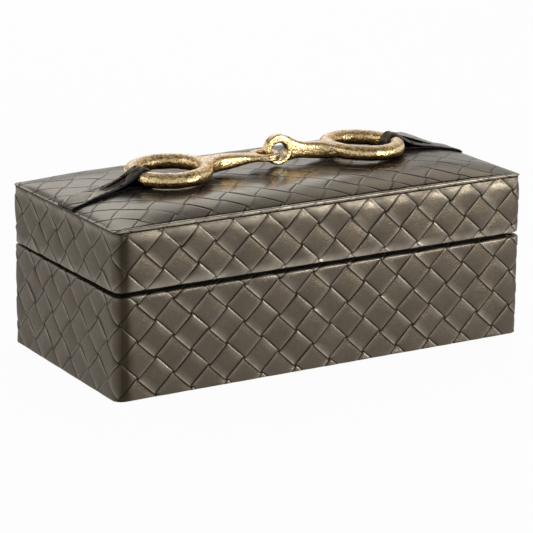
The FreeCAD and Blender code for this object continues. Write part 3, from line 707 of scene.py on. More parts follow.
def lid_wrap():
    """The woven leather round the lid's walls."""
    low, high = LID_BOTTOM + LID_ROLL, SEAM_LEVEL - SEAM_ROLL
    points = [(LID_TURN_IN, LID_BOTTOM)] + arc(SOFTNESS + LID_ROLL, low, LID_ROLL, -90, 0)
    points += [(SOFTNESS * (1 - up) ** 2, low + SOFT_REACH * up) for up in SOFT_SHARES]
    points += [(SOFTNESS * up ** 2, high - SOFT_REACH * (1 - up)) for up in SOFT_SHARES]
    points += arc(SOFTNESS + SEAM_ROLL, high, SEAM_ROLL, 0, 90) + [(SOFTNESS + 1.3 * MM, SEAM_LEVEL)]
    profile = Profile(points, 90 * MM)
    lattice = wall_lattice(mark_s=-117.1 * MM, mark_level=80.8 * MM, pitch=24.69 * MM, row=11.71 * MM,
                           climb=0.0185, cells_round=CELLS_ROUND)
    roll = LID_ROLL * math.pi / 2
    bends = [low - roll * share for share in (0, 0.2, 0.4, 0.6, 0.8, 1)]
    bends += [low + SOFT_REACH * up for up in SOFT_SHARES] + [high - SOFT_REACH * up for up in SOFT_SHARES]
    bends += [high + SEAM_ROLL * math.pi / 2 * share for share in (0, 0.33, 0.67, 1)]
    # Painted highlight near the lower edge and just under the seam, and painted shade at the seam
    highlight_and_shade_bands = [(low, 0.36), (low + 6 * MM, 0), (high - 7 * MM, 0), (high - 1.5 * MM, 0.42), (high, 0.15)]
    highlight_and_shade_bands.append((high + SEAM_ROLL, -0.5))
    fullness = [(low - roll, 0.3), (low + 2 * MM, 1), (high - 2 * MM, 1), (high, 0.5)]
    return wrapped_sheet("lid_woven_wrap", profile, lattice, bends, highlight_and_shade_bands, fullness,
                         mortise_high=MORTISE_HEAD)


lid_leather = tip_with_lid(lid_wrap())

# %% [markdown]
# The top of the lid is a separate panel of the same leather over foam. It is laid out in plan, and
# its border is rolled over the edge of the lid: a flat place outside the box's outline becomes a
# place further down the roll. Along the front the border swells into a bead with a crease behind
# it, and at the sides and the back it is tucked down flush.

# %% The crown and the outline of the top
COVER_RELIEF = 0.30 * MM
COVER_FULLNESS = 0.35
COVER_HIGHLIGHT_SHARE = 0.25
TUCK_DROP = 1.25 * MM
TUCK_REACH = 9 * MM
TUCKED_SHARE = 0.15
COVER_ROLL = 1.0 * MM
COVER_UNDER = 0.4 * MM
BEAD_WIDTH = 2.5 * MM
BEAD_CREASE = 0.60 * MM
BEAD_HIGHLIGHT_SHARE = 0.8
BEAD_BULGE = 0.60 * MM
BEAD_MIDDLE = 0.3 * MM
BEAD_REACH = 1.5 * MM
BEAD_FLATTENED_SHARE = 0.4
BULGE_MIDDLE = 0.9 * MM
BULGE_REACH = 1.2 * MM
CREASE_REACH_SHARE = 1.4
CREASE_SHADE_SHARE = 1.6
COVER_DROP = 0.5 * MM
COVER_TURN_IN = 1.2 * MM
COVER_END = 0.8 * MM
COVER_FOOT = 0.05 * MM
ROLL_CUTS = (0, 0.25, 0.5, 0.75, 1)
QUARTER_TURN = 1.57


def tucked(x, y):
    """One at the side and back borders of the cover, and nothing further in or along the front."""
    distance = np.minimum(BOX_LENGTH / 2 - abs(x), BOX_DEPTH / 2 - y)
    return np.clip(1 - distance / TUCK_REACH, 0, 1) ** 2


def crown_height(x, y):
    """The level of the crowned top at a place in plan."""
    def share(distance, margin):
        return 1 - (1 - np.clip(distance / margin, 0, 1)) ** 2
    along = share(BOX_LENGTH / 2 - abs(x), CROWN_END_MARGIN)
    rise = CROWN_RISE * along * share(BOX_DEPTH / 2 - abs(y), CROWN_MARGIN)
    return TOP_EDGE_LEVEL + rise - TUCK_DROP * tucked(x, y)


def outline_distance(x, y):
    """Distance inside the box's outline in plan, and the outward direction there."""
    over_x = np.maximum(abs(x) - HALF_LENGTH, 0)
    over_y = np.maximum(abs(y) - HALF_DEPTH, 0)
    beyond = np.hypot(over_x, over_y)
    at_corner = (over_x > 0) & (over_y > 0)
    flat = np.minimum(BOX_LENGTH / 2 - abs(x), BOX_DEPTH / 2 - abs(y))
    inside = np.where(at_corner, CORNER_RADIUS - beyond, flat)
    long_side = BOX_DEPTH / 2 - abs(y) < BOX_LENGTH / 2 - abs(x)
    away_x = np.where(at_corner, over_x / np.maximum(beyond, 1e-9), np.where(long_side, 0, 1)) * np.sign(x)
    away_y = np.where(at_corner, over_y / np.maximum(beyond, 1e-9), np.where(long_side, 1, 0)) * np.sign(y)
    return inside, away_x, away_y


print("crown", round(float(crown_height(0, 0)) / MM, 1), "mm up")

# %% Top cover
def cover_lattice(u, v):
    """Strip coordinates to places on the cover, in plan."""
    along, across = (u + v) / 2, (u - v) / 2
    x = -67.3 * MM + 24.6 * MM * along - 1.5 * MM * across
    y = -54.6 * MM - 1.39 * MM * along + 22.85 * MM * across
    return x, y


def cover_cuts():
    """Where the flat cover is cut across X and across Y, so that its roll, corners and bead bend round."""
    rolled = [BOX_LENGTH / 2 - COVER_ROLL + COVER_ROLL * QUARTER_TURN * k for k in ROLL_CUTS]
    rolled += [rolled[-1] + more * MM for more in (0.5, 0.8, 1.13)]
    along = rolled + [HALF_LENGTH + more * MM for more in (0, 2, 3.5)]
    beads = [BOX_DEPTH / 2 - BEAD_WIDTH + BEAD_CREASE * share for share in (-1.4, -0.7, 0, 0.7, 1.4)]
    across = [line - (BOX_LENGTH - BOX_DEPTH) / 2 for line in along] + beads
    return [[side * line for line in lines for side in (-1, 1)] for lines in (along, across)]


def with_bead(x, y, depth, highlight_and_shade):
    """Depth and painted light of the flat cover, with a painted highlight on the bead along the front and
    painted shade in the crease behind it.
    """
    to_front = BOX_DEPTH / 2 + y
    beaded = 1 - tucked(x, y)
    crease_reach = CREASE_REACH_SHARE * BEAD_CREASE
    crease = beaded * np.clip(1 - abs(to_front - BEAD_WIDTH) / crease_reach, 0, 1)
    bead = beaded * np.clip(1 - abs(to_front - BEAD_MIDDLE) / BEAD_REACH, 0, 1) ** 0.5
    bulge = beaded * np.clip(1 - ((to_front - BULGE_MIDDLE) / BULGE_REACH) ** 2, 0, 1)
    depth = depth * (1 - BEAD_FLATTENED_SHARE * bead) - crease * BEAD_CREASE + bulge * BEAD_BULGE
    # Less painted highlight on the strip edges, wider painted shade, a painted highlight on the bead and
    # painted shade in the crease behind it
    highlight_and_shade = highlight_and_shade - np.clip(highlight_and_shade - 0.5, 0, 1) * (1 - COVER_HIGHLIGHT_SHARE)
    highlight_and_shade = np.where(highlight_and_shade < 0.5, 2 * highlight_and_shade ** 2, highlight_and_shade)
    highlight_and_shade = (highlight_and_shade + BEAD_HIGHLIGHT_SHARE * bead) * np.clip(1 - CREASE_SHADE_SHARE * crease, 0, 1)
    return depth, highlight_and_shade


def rolled_cover(x, y, depth):
    """Places of the cover on the crown, with its border rolled over the edge of the lid."""
    inside, away_x, away_y = outline_distance(x, y)
    border = arc(COVER_ROLL, 0, COVER_ROLL, 90, 0) + [(0, -COVER_DROP)]
    border += arc(COVER_UNDER, -COVER_DROP, COVER_UNDER, 0, -90)
    border = np.array(border + [(COVER_TURN_IN, -COVER_DROP - COVER_UNDER)])
    way = way_along(border)
    along_roll = COVER_ROLL - inside
    rolling = along_roll > 0
    inset = np.where(rolling, np.interp(along_roll, way, border[:, 0]), inside)
    drop = np.interp(along_roll, way, border[:, 1])
    foot_x, foot_y = x + away_x * (inside - inset), y + away_y * (inside - inset)
    edge_x, edge_y = x + away_x * (inside - COVER_ROLL), y + away_y * (inside - COVER_ROLL)
    edge_level = np.where(rolling, crown_height(edge_x, edge_y), crown_height(x, y))
    flattened = 1 - (1 - TUCKED_SHARE) * tucked(x, y)
    base_level = SEAM_LEVEL + COVER_FOOT + flattened * (COVER_UNDER + COVER_DROP)
    rolled_level = base_level + (edge_level - base_level) * np.clip(drop / COVER_ROLL, 0, 1)
    level = np.where(rolling, np.where(drop > 0, rolled_level, base_level + drop * flattened), edge_level)
    lean = np.clip(along_roll / (COVER_ROLL * math.pi / 2), 0, 1) * math.pi / 2
    lean = lean + np.clip((along_roll - way[-2]) / COVER_UNDER, 0, 1) * math.pi / 2
    foot_x = foot_x + away_x * depth * np.sin(lean)
    foot_y = foot_y + away_y * depth * np.sin(lean)
    return np.stack([foot_x, foot_y, level + depth * np.cos(lean)], 1)


def top_cover():
    """The woven leather panel on the crowned top."""
    run = COVER_ROLL * math.pi / 2 + COVER_DROP + COVER_UNDER * math.pi / 2 + COVER_END
    half_x, half_y = BOX_LENGTH / 2 - COVER_ROLL + run, BOX_DEPTH / 2 - COVER_ROLL + run
    sheet = woven_net("lid_woven_cover", (-half_x, -half_y), (half_x, half_y), cover_lattice,
                      COVER_RELIEF, COVER_FULLNESS)
    cuts_x, cuts_y = cover_cuts()
    cut_lines(sheet, 0, cuts_x, -half_x, half_x)
    cut_lines(sheet, 1, cuts_y, -half_y, half_y)
    x, y, depth = points_of(sheet).T
    depth, highlight_and_shade = with_bead(x, y, depth, values_of(sheet, "highlight_and_shade"))
    set_values(sheet, "highlight_and_shade", highlight_and_shade)
    set_points(sheet, rolled_cover(x, y, depth))
    return thicken(sheet)


cover_leather = tip_with_lid(top_cover())

# %% [markdown]
# The leather is bronze grey with a pearly coat: partly metallic, with a soft gloss. Fine grain and faint
# creases break up its shine. Shade is painted into the grooves, along the rounded corners and at the lid's
# seam, and highlights are painted on the strip edges and along the rims. The painted highlight and shade
# come with the nets and their wrapping, as values on each vertex.

# %% Woven leather material
# The first colour is painted shade for the creases, the fourth a painted highlight for the strip edges and
# the last painted shade for the corners; the other two are the leather's own tone
CREASE_SHADE_TONE = (0.014, 0.010, 0.006)
LEATHER_TONE = (0.106, 0.088, 0.066)
LEATHER_LIGHT = (0.130, 0.108, 0.083)
HIGHLIGHT_TONE = (0.50, 0.45, 0.37)
CORNER_SHADE_TONE = (0.030, 0.022, 0.012)


def leather_surface(name, gloss, grain=1.0):
    """Pearly leather with fine grain, with painted shade in its creases and along the corners, and painted
    highlights on its strip edges.
    """
    material, tree, shader = new_material(name)
    places = object_places(tree)
    cloud = noise(tree, places, 55.0, 2.0)
    colour = ramp(tree, cloud, (0.3, LEATHER_TONE), (0.75, LEATHER_LIGHT))
    speck = ramp(tree, noise(tree, places, 1100.0, 3.0), (0.3, grey(0.7)), (0.7, grey(1.25)))
    colour = mix(tree, "MULTIPLY", 0.08 + 0.27 * grain, colour, speck)
    highlight_and_shade = node(tree, "ShaderNodeAttribute", attribute_name="highlight_and_shade").outputs["Fac"]
    patches = noise(tree, places, 90.0, 2.0)
    # Painted highlight on the strip edges, broken up in patches
    highlight = ramp(tree, highlight_and_shade, (0.53, grey(0)), (0.95, grey(0.78)))
    highlight = arithmetic(tree, "MULTIPLY", highlight, ramp(tree, patches, (0.3, grey(0.35)), (0.7, grey(1))))
    colour = mix(tree, "MIX", highlight, colour, HIGHLIGHT_TONE)
    # Painted shade in the creases
    colour = mix(tree, "MIX", ramp(tree, highlight_and_shade, (0.22, grey(1)), (0.46, grey(0))), colour, CREASE_SHADE_TONE)
    # Painted shade along the rounded corners
    corner_shade = node(tree, "ShaderNodeAttribute", attribute_name="corner_shade").outputs["Fac"]
    corner_shaded = ramp(tree, corner_shade, (0.05, grey(0)), (0.85, grey(0.92)))
    colour = mix(tree, "MIX", corner_shaded, colour, CORNER_SHADE_TONE)
    spread = 0.02 + 0.06 * grain
    matte = noise(tree, places, 300.0, 4.0)
    rough = ramp(tree, matte, (0.25, grey(gloss - spread)), (0.8, grey(gloss + spread)))
    wrinkle_mask = ramp(tree, patches, (0.48, grey(0)), (0.62, grey(1)))
    wrinkles = arithmetic(tree, "MULTIPLY", noise(tree, places, 480.0, 3.0, 0.6), wrinkle_mask)
    normal = bump(tree, wrinkles, 0.14 * grain, 0.0008)
    normal = bump(tree, noise(tree, places, 1100.0, 3.0, 0.5), 0.4 * grain, 0.0003, normal)
    fill(tree, shader, {"Base Color": colour, "Metallic": 0.65, "Specular IOR Level": 0.25,
                        "Specular Tint": (0.76, 0.73, 0.69, 1), "Roughness": rough, "Normal": normal})
    return material


leather = leather_surface("woven_leather", 0.33)
settle(base_leather, "base", "woven_leather", leather, "base_leather_wrap")
settle(lid_leather, "lid", "woven_leather", leather, "lid_side_wrap")
settle(cover_leather, "lid", "woven_leather", leather_surface("cover_leather", 0.23, 0.05), "lid_top_cover")

# %% [markdown]
# Each link of the bit is one casting: a round ring, a bar and an eye. The parts are modelled one by
# one. The bar starts at the eye as a flat section with rounded corners, standing or lying as the
# eye does, and is extruded and scaled from section to section. The parts are then joined and
# remeshed into one skin, which melts their joints together as in the wax model, and the skin is
# dented with two soft noises.

# %% Places of the two links
LINK_RING_RADIUS = 23.4 * MM
LINK_TUBE_RADIUS = 5.25 * MM
LEFT_RING_X = -74 * MM
RIGHT_RING_X = 70.8 * MM
EYE_RADIUS = 10.1 * MM
EYE_HOLE_RADIUS = 5.9 * MM
UPRIGHT_EYE = Vector((6.3 * MM, 0, RING_LEVEL + 3.4 * MM))
UPRIGHT_EYE_RISE = 1.3 * MM
UPRIGHT_EYE_THICKNESS = 5.5 * MM
FLAT_EYE = Vector((UPRIGHT_EYE.x - 9.8 * MM, 0, RING_LEVEL + 1.7 * MM))
FLAT_EYE_THICKNESS = 4.6 * MM
# How far along the bar, its rise, its height and its width, as shares of the bar's reach, of the
# eye's rise over the ring, of the tube's diameter and of the eye's radius
UPRIGHT_BAR_SHARES = (
    (0.00, 1.35, 1.66, 0.50), (0.06, 1.32, 1.56, 0.50), (0.14, 1.16, 1.36, 0.50), (0.27, 0.88, 1.12, 0.52),
    (0.43, 0.58, 1.02, 0.60), (0.60, 0.40, 1.06, 0.74), (0.76, 0.28, 1.12, 0.96), (0.90, 0.20, 1.10, 1.50),
    (1.00, 0.15, 1.02, 2.20), (1.10, 0.10, 0.90, 3.00))
FLAT_BAR_SHARES = (
    (0.00, 1.00, 0.50, 1.48), (0.06, 1.00, 0.50, 1.40), (0.14, 1.00, 0.54, 1.26), (0.25, 0.95, 0.66, 1.10),
    (0.43, 0.80, 0.86, 1.06), (0.60, 0.70, 0.98, 1.08), (0.76, 0.55, 1.02, 1.20), (0.90, 0.35, 1.02, 1.65),
    (1.00, 0.20, 1.00, 2.30), (1.10, 0.10, 0.90, 3.00))
EYE_RIM = 0.8 * MM
BAR_SQUARENESS = 0.65
LEFT_RING_DROPS = (math.radians(1.5), math.radians(1.4))
RIGHT_RING_DROPS = (math.radians(1.0), math.radians(1.8))
RING_SEGMENTS = 96
TUBE_SEGMENTS = 28


def cast_ring(x, front_drop, end_drop):
    """The round ring of a link, which leans a little towards the front and towards the end of the box."""
    nothing_selected()
    bpy.ops.mesh.primitive_torus_add(major_radius=LINK_RING_RADIUS, minor_radius=LINK_TUBE_RADIUS,
                                     major_segments=RING_SEGMENTS, minor_segments=TUBE_SEGMENTS)
    ring = bpy.context.object
    lean = Matrix.Rotation(front_drop, 4, "X") @ Matrix.Rotation(math.copysign(end_drop, x), 4, "Y")
    ring.data.transform(Matrix.Translation((x, 0, RING_LEVEL)) @ lean)
    return ring


def cast_bar(eye, ring_x, shares):
    """The bar, extruded from the eye to the ring."""
    direction = math.copysign(1, ring_x - eye.x)
    start = eye.x + direction * EYE_HOLE_RADIUS
    reach = ring_x - direction * (LINK_RING_RADIUS + LINK_TUBE_RADIUS / 2) - start
    rise = eye.z - RING_LEVEL
    sections = [(Vector((start + reach * along, 0, RING_LEVEL + rise * up)), LINK_TUBE_RADIUS * height,
                 EYE_RADIUS / 2 * width) for along, up, height, width in shares]
    nothing_selected()
    bpy.ops.mesh.primitive_circle_add(vertices=TUBE_SEGMENTS, radius=1, fill_type="NGON",
                                      rotation=(0, math.pi / 2, 0))
    bar = bpy.context.object
    bpy.ops.object.transform_apply(location=False, rotation=True, scale=False)
    places = points_of(bar)
    set_points(bar, np.sign(places) * abs(places) ** BAR_SQUARENESS)
    middle, half_height, half_width = sections[0]
    bar.data.transform(Matrix.Translation(middle) @ Matrix.Diagonal((1, half_width, half_height, 1)))
    edit_all()
    for (last, last_height, last_width), (place, half_height, half_width) in zip(sections, sections[1:]):
        bpy.ops.mesh.extrude_region_move(TRANSFORM_OT_translate={"value": place - last})
        bpy.ops.transform.resize(value=(1, half_width / last_width, half_height / last_height),
                                 center_override=place)
    face_outward()
    return bar


def cast_eye(centre, thickness, upright):
    """A flat round eye with softened rims, standing across Y or lying across Z."""
    nothing_selected()
    bpy.ops.mesh.primitive_circle_add(vertices=RING_SEGMENTS, radius=EYE_RADIUS, fill_type="NOTHING")
    eye = bpy.context.object
    edit_all()
    bpy.ops.mesh.extrude_edges_move()
    share = EYE_HOLE_RADIUS / EYE_RADIUS
    bpy.ops.transform.resize(value=(share, share, 1), center_override=(0, 0, 0))
    bpy.ops.mesh.select_all(action="SELECT")
    bpy.ops.mesh.extrude_region_move(TRANSFORM_OT_translate={"value": (0, 0, thickness)})
    face_outward()
    places = points_of(eye)
    places[:, 2] -= thickness / 2
    turn = Matrix.Rotation(math.pi / 2, 4, "X") if upright else Matrix.Identity(4)
    set_points(eye, places)
    softened = eye.modifiers.new("softened_rims", "BEVEL")
    softened.width = EYE_RIM
    softened.segments = 4
    softened.limit_method = "ANGLE"
    apply_modifiers(eye)
    eye.data.transform(Matrix.Translation(centre) @ turn)
    if upright:
        places = points_of(eye)
        away = np.hypot(places[:, 0] - centre.x, places[:, 2] - centre.z)
        share = np.clip((away - EYE_HOLE_RADIUS - MM) / (EYE_RADIUS - EYE_HOLE_RADIUS - MM), 0, 1)
        places[:, 2] += UPRIGHT_EYE_RISE * share
        set_points(eye, places)
    return eye


# %% Casting and hammering the links
CASTING_VOXEL = 0.42 * MM
HAMMER_DEPTH = 0.55 * MM
PITTING_DEPTH = 0.32 * MM
BAR_HAMMERED_SHARE = 0.10
HAMMERED_REACH = 10 * MM
HAMMERED_LEVELS = 12


def hammer(piece, name, kind, size, strength, group):
    """Dents the skin with a noise, less near the eye, where the two links pass each other."""
    texture = bpy.data.textures.new(name, kind)
    texture.noise_scale = size
    dents = piece.modifiers.new(name, "DISPLACE")
    dents.texture = texture
    dents.texture_coords = "LOCAL"
    dents.strength = strength
    dents.mid_level = 0.75 if kind == "CLOUDS" else 0.5
    dents.vertex_group = group


def cast_link(name, parts, ring_x):
    """Joins the parts of a link, melts them into one skin and hammers it."""
    only(parts[0])
    for part in parts:
        part.select_set(True)
    bpy.ops.object.join()
    link = bpy.context.object
    link.name = name
    link.data.name = name
    skin = link.modifiers.new("skin", "REMESH")
    skin.mode = "VOXEL"
    skin.voxel_size = CASTING_VOXEL
    melted = link.modifiers.new("melted", "SMOOTH")
    melted.factor = 0.5
    melted.iterations = 4
    apply_modifiers(link)
    places = points_of(link)
    away = np.hypot(places[:, 0] - ring_x, places[:, 1]) - LINK_RING_RADIUS - LINK_TUBE_RADIUS
    share = np.clip(1 - away / HAMMERED_REACH, BAR_HAMMERED_SHARE, 1)
    group = link.vertex_groups.new(name="hammered")
    for level in np.linspace(BAR_HAMMERED_SHARE, 1, HAMMERED_LEVELS):
        chosen = np.nonzero(abs(share - level) <= 0.042)[0]
        group.add([int(i) for i in chosen], float(level), "REPLACE")
    hammer(link, "hammering", "CLOUDS", 5.5 * MM, HAMMER_DEPTH, "hammered")
    hammer(link, "pitting", "CLOUDS", 1.6 * MM, PITTING_DEPTH, "hammered")
    apply_modifiers(link)
    link.vertex_groups.clear()
    normals = np.empty(len(link.data.vertices) * 3)
    link.data.vertices.foreach_get("normal", normals)
    # How far the skin faces up, which the gold's painted highlight and shade follow
    facing_up = (normals.reshape(-1, 3)[:, 2] + 1) / 2
    set_values(link, "facing_up", facing_up)
    bpy.ops.object.shade_smooth()
    return tip_with_lid(link)


upright_parts = [cast_ring(RIGHT_RING_X, *RIGHT_RING_DROPS),
                 cast_bar(UPRIGHT_EYE, RIGHT_RING_X, UPRIGHT_BAR_SHARES),
                 cast_eye(UPRIGHT_EYE, UPRIGHT_EYE_THICKNESS, True)]
right_link = cast_link("right_cast_link", upright_parts, RIGHT_RING_X)
flat_parts = [cast_ring(LEFT_RING_X, *LEFT_RING_DROPS),
              cast_bar(FLAT_EYE, LEFT_RING_X, FLAT_BAR_SHARES),
              cast_eye(FLAT_EYE, FLAT_EYE_THICKNESS, False)]
left_link = cast_link("left_cast_link", flat_parts, LEFT_RING_X)

# %% Antique gold material
# The bright colour paints highlights and glints, the dark one paints shade beneath and dark specks, and the
# last one a pale reflection on the tops
GOLD_BRIGHT = (1.0, 0.775, 0.43)
GOLD_WARM = (0.66, 0.42, 0.16)
GOLD_DARK = (0.095, 0.045, 0.012)
GOLD_TOP_REFLECTION = (0.56, 0.44, 0.34)


def antique_gold():
    """Old gold on a hammered casting, rougher on top, coloured by which way it faces: a painted pale
    reflection on top, painted highlights at its sides and painted shade beneath, with painted glints and
    dark specks.
    """
    material, tree, shader = new_material("antique_gold")
    places = object_places(tree)
    up = node(tree, "ShaderNodeAttribute", attribute_name="facing_up").outputs["Fac"]
    uneven = arithmetic(tree, "SUBTRACT", noise(tree, places, 350.0, 3.0), 0.5)
    up = arithmetic(tree, "ADD", up, arithmetic(tree, "MULTIPLY", uneven, 0.35))
    # Painted light by facing: painted shade beneath, painted highlights on the sides, a painted dark band
    # on the upper shoulders and a painted pale reflection on top
    colour = ramp(tree, up, (0.18, GOLD_DARK), (0.36, GOLD_WARM), (0.50, GOLD_BRIGHT),
                  (0.72, GOLD_BRIGHT), (0.81, GOLD_DARK), (0.89, GOLD_WARM), (0.97, GOLD_TOP_REFLECTION))
    patch = noise(tree, places, 420.0, 3.0)
    colour = mix(tree, "MIX", ramp(tree, patch, (0.38, grey(0.5)), (0.50, grey(0))), colour, GOLD_WARM)
    pits = noise(tree, places, 750.0, 3.0, 0.6)
    # Painted glints as bright specks, then dark specks
    colour = mix(tree, "MIX", ramp(tree, pits, (0.53, grey(0)), (0.60, grey(0.6))), colour, GOLD_BRIGHT)
    colour = mix(tree, "MIX", ramp(tree, pits, (0.36, grey(0.7)), (0.43, grey(0))), colour, GOLD_DARK)
    rough = ramp(tree, up, (0.3, grey(0.22)), (0.75, grey(0.26)), (0.90, grey(0.46)))
    normal = bump(tree, noise(tree, places, 650.0, 3.0), 0.35, 0.0009)
    fill(tree, shader, {"Base Color": colour, "Metallic": 1.0, "Roughness": rough,
                        "Normal": bump(tree, pits, 0.3, 0.0004, normal)})
    return material


gold = antique_gold()
settle(right_link, "right_link", "antique_gold", gold, "right_bit_link")
settle(left_link, "left_link", "antique_gold", gold, "left_bit_link")

# %% [markdown]
# A strap of the same leather comes out of the seam at each end of the lid. Its lower layer lies on
# the crown, goes under the ring's tube and round it, and its upper layer comes back over the top
# and down to the seam. The strap is a flat net too, rolled into a thin closed sleeve, so that its
# edges are turned, and then led along that route. It narrows at the ring, where it gathers in pleats.

# %% Straps
STRAP_THICKNESS = 1.1 * MM
STRAP_HALF_WIDTH = 11.5 * MM
NECK_HALF_WIDTH = 7.0 * MM
STRAP_PLACES = {"left": (-3.5 * MM, 0.9, 0), "right": (0.5 * MM, 0.75, 5 * MM)}
LOOP_RADIUS = LINK_TUBE_RADIUS + 0.15 * MM + STRAP_THICKNESS / 2
LOOP_DROP = 0.7 * MM
PLEAT_DEPTH = 1.3 * MM
PLEAT_COUNT = 3
ROUTE_PLACES = 400
STRAP_CUTS = 60
STRAP_DOUBLES = 0.01 * MM


def rounded_way(points, count):
    """A smooth line through points, as many places long as asked."""
    points = np.array(points, float)
    ends = np.concatenate([[2 * points[0] - points[1]], points, [2 * points[-1] - points[-2]]])
    places = []
    for share in np.linspace(0, len(points) - 1, count):
        index = min(int(share), len(points) - 2)
        a, b, c, d = ends[index:index + 4]
        t = share - index
        places.append(0.5 * ((2 * b) + (c - a) * t + (2 * a - 5 * b + 4 * c - d) * t ** 2
                             + (3 * b - a - 3 * c + d) * t ** 3))
    return np.array(places)


def strap_route(reach):
    """The strap's route seen from the side: distance in from the lid's edge, and level."""
    crown = [(step * MM, crown_height(BOX_LENGTH / 2 - step * MM, 0) + STRAP_THICKNESS / 2 + 0.2 * MM)
             for step in (3, 9, 18, 28)]
    lower = [(0.7 * MM, SEAM_LEVEL + 0.3 * MM)] + crown + [(reach - 11 * MM, RING_LEVEL - 5.6 * MM)]
    loop_level = RING_LEVEL - LOOP_DROP
    loop = [(reach + LOOP_RADIUS * math.sin(turn), loop_level - LOOP_RADIUS * math.cos(turn))
            for turn in np.radians([-25, 20, 65, 110, 155, 190])]
    top = loop_level + LOOP_RADIUS
    rise = top - SEAM_LEVEL
    upper = [(reach * share, SEAM_LEVEL + rise * up) for share, up in
             ((0.80, 0.70), (0.62, 0.52), (0.45, 0.42), (0.28, 0.32), (0.13, 0.21), (0.045, 0.135))]
    return lower + loop + upper + [(0.9 * MM, SEAM_LEVEL + 1.6 * MM)]


def strap_lattice(u, v):
    """Strip coordinates to places on the strap's flat net."""
    along, across = (u + v) / 2, (u - v) / 2
    return 4 * MM + 25 * MM * along, 2 * MM + 24 * MM * across


def strap(name, side, ring_x):
    """One strap, from the seam round the ring and back."""
    reach = BOX_LENGTH / 2 - (abs(ring_x) + LINK_RING_RADIUS)
    route = rounded_way(strap_route(reach), ROUTE_PLACES)
    way = way_along(route)
    tangent = np.gradient(route, way, axis=0)
    half_turn = math.pi / 2 * STRAP_THICKNESS
    face = STRAP_HALF_WIDTH - STRAP_THICKNESS / 2
    half_round = 2 * face + half_turn
    net = woven_net(name, (0, -half_round), (way[-1], half_round), strap_lattice)
    cut_lines(net, 0, [way[-1] * k / STRAP_CUTS for k in range(1, STRAP_CUTS)], 0, way[-1])
    rolls = [side_of * (face + half_turn * k / 4) for k in range(5) for side_of in (-1, 1)]
    cut_lines(net, 1, rolls, -half_round, half_round)
    p, c, depth = points_of(net).T
    turned = np.clip((abs(c) - face) / half_turn, 0, 1)
    lean = turned * math.pi
    beneath = np.clip(abs(c) - face - half_turn, 0, None)
    half = STRAP_THICKNESS / 2
    across = np.where(abs(c) < face, abs(c), face + half * np.sin(lean) - beneath)
    offset = half * np.cos(lean)
    shallow = 0.5 * depth
    across = across + shallow * np.sin(lean)
    offset = offset + shallow * np.cos(lean)
    along_in = np.interp(p, way, route[:, 0])
    gather = np.clip((along_in - 6 * MM) / (reach - 12 * MM), 0, 1)
    gather = gather * gather * (3 - 2 * gather)
    width_share = 1 - gather * (1 - NECK_HALF_WIDTH / STRAP_HALF_WIDTH)
    shift, narrowing, seam_shift = STRAP_PLACES[name.split("_")[0]]
    y = shift + seam_shift * (1 - gather) + np.sign(c) * across * width_share * narrowing
    sag = LINK_RING_RADIUS - np.sqrt(LINK_RING_RADIUS ** 2 - y ** 2)
    pleat_turn = 2 * math.pi * PLEAT_COUNT * across / (2 * STRAP_HALF_WIDTH) + 0.6 * side
    pleat = PLEAT_DEPTH * gather * np.cos(pleat_turn)
    offset = offset + pleat * 0.5
    normal_in = np.interp(p, way, tangent[:, 1])
    normal_up = -np.interp(p, way, tangent[:, 0])
    inward = along_in + offset * normal_in + sag * gather
    level = np.interp(p, way, route[:, 1]) + offset * normal_up
    set_points(net, np.stack([side * (BOX_LENGTH / 2 - inward), y, level], 1))
    edge = np.clip(1 - abs(abs(c) - face - half_turn / 2) / (half_turn * 0.9), 0, 1)
    edge = np.where(abs(c) > face + half_turn, 1, edge)
    set_values(net, "edge", np.clip(edge * 1.6, 0, 1))
    only(net)
    edit_all()
    bpy.ops.mesh.remove_doubles(threshold=STRAP_DOUBLES)
    bpy.ops.mesh.fill_holes(sides=0)
    face_outward()
    bpy.ops.object.shade_smooth()
    return tip_with_lid(net)


STRAP_EDGE_TONE = (0.012, 0.014, 0.020)


def strap_leather():
    """The woven leather of the straps, blue-black on its cut edges and underside."""
    material = leather_surface("strap_leather", 0.30, 0.3)
    tree = material.node_tree
    shader = tree.nodes["Principled BSDF"]
    face = shader.inputs["Base Color"].links[0].from_socket
    edge = node(tree, "ShaderNodeAttribute", attribute_name="edge").outputs["Fac"]
    fill(tree, shader, {"Base Color": mix(tree, "MIX", edge, face, STRAP_EDGE_TONE)})
    return material


strap_finish = strap_leather()
for place, side, ring_x in (("left", -1, LEFT_RING_X), ("right", 1, RIGHT_RING_X)):
    sleeve = strap(place + "_woven_strap", side, ring_x)
    settle(sleeve, "lid", "strap_leather", strap_finish, place + "_strap")

# %% [markdown]
# Under the leather top lies a sheet of foam, thick in the middle and thin at its borders, which gives
# the lid its crown. It starts as a flat grid, takes the crown's own formula, and is closed below.

# %% Foam under the top cover
FOAM_GRID = (72, 36)
FOAM_INSET = 1.6 * MM
FOAM_LOWER = 0.95 * MM
FOAM_LEAST = 0.3 * MM
FOAM_CORNER = 4.5 * MM
FOAM_BOTTOM = SEAM_LEVEL + 0.2 * MM
FOAM_ROUND = 5 * MM


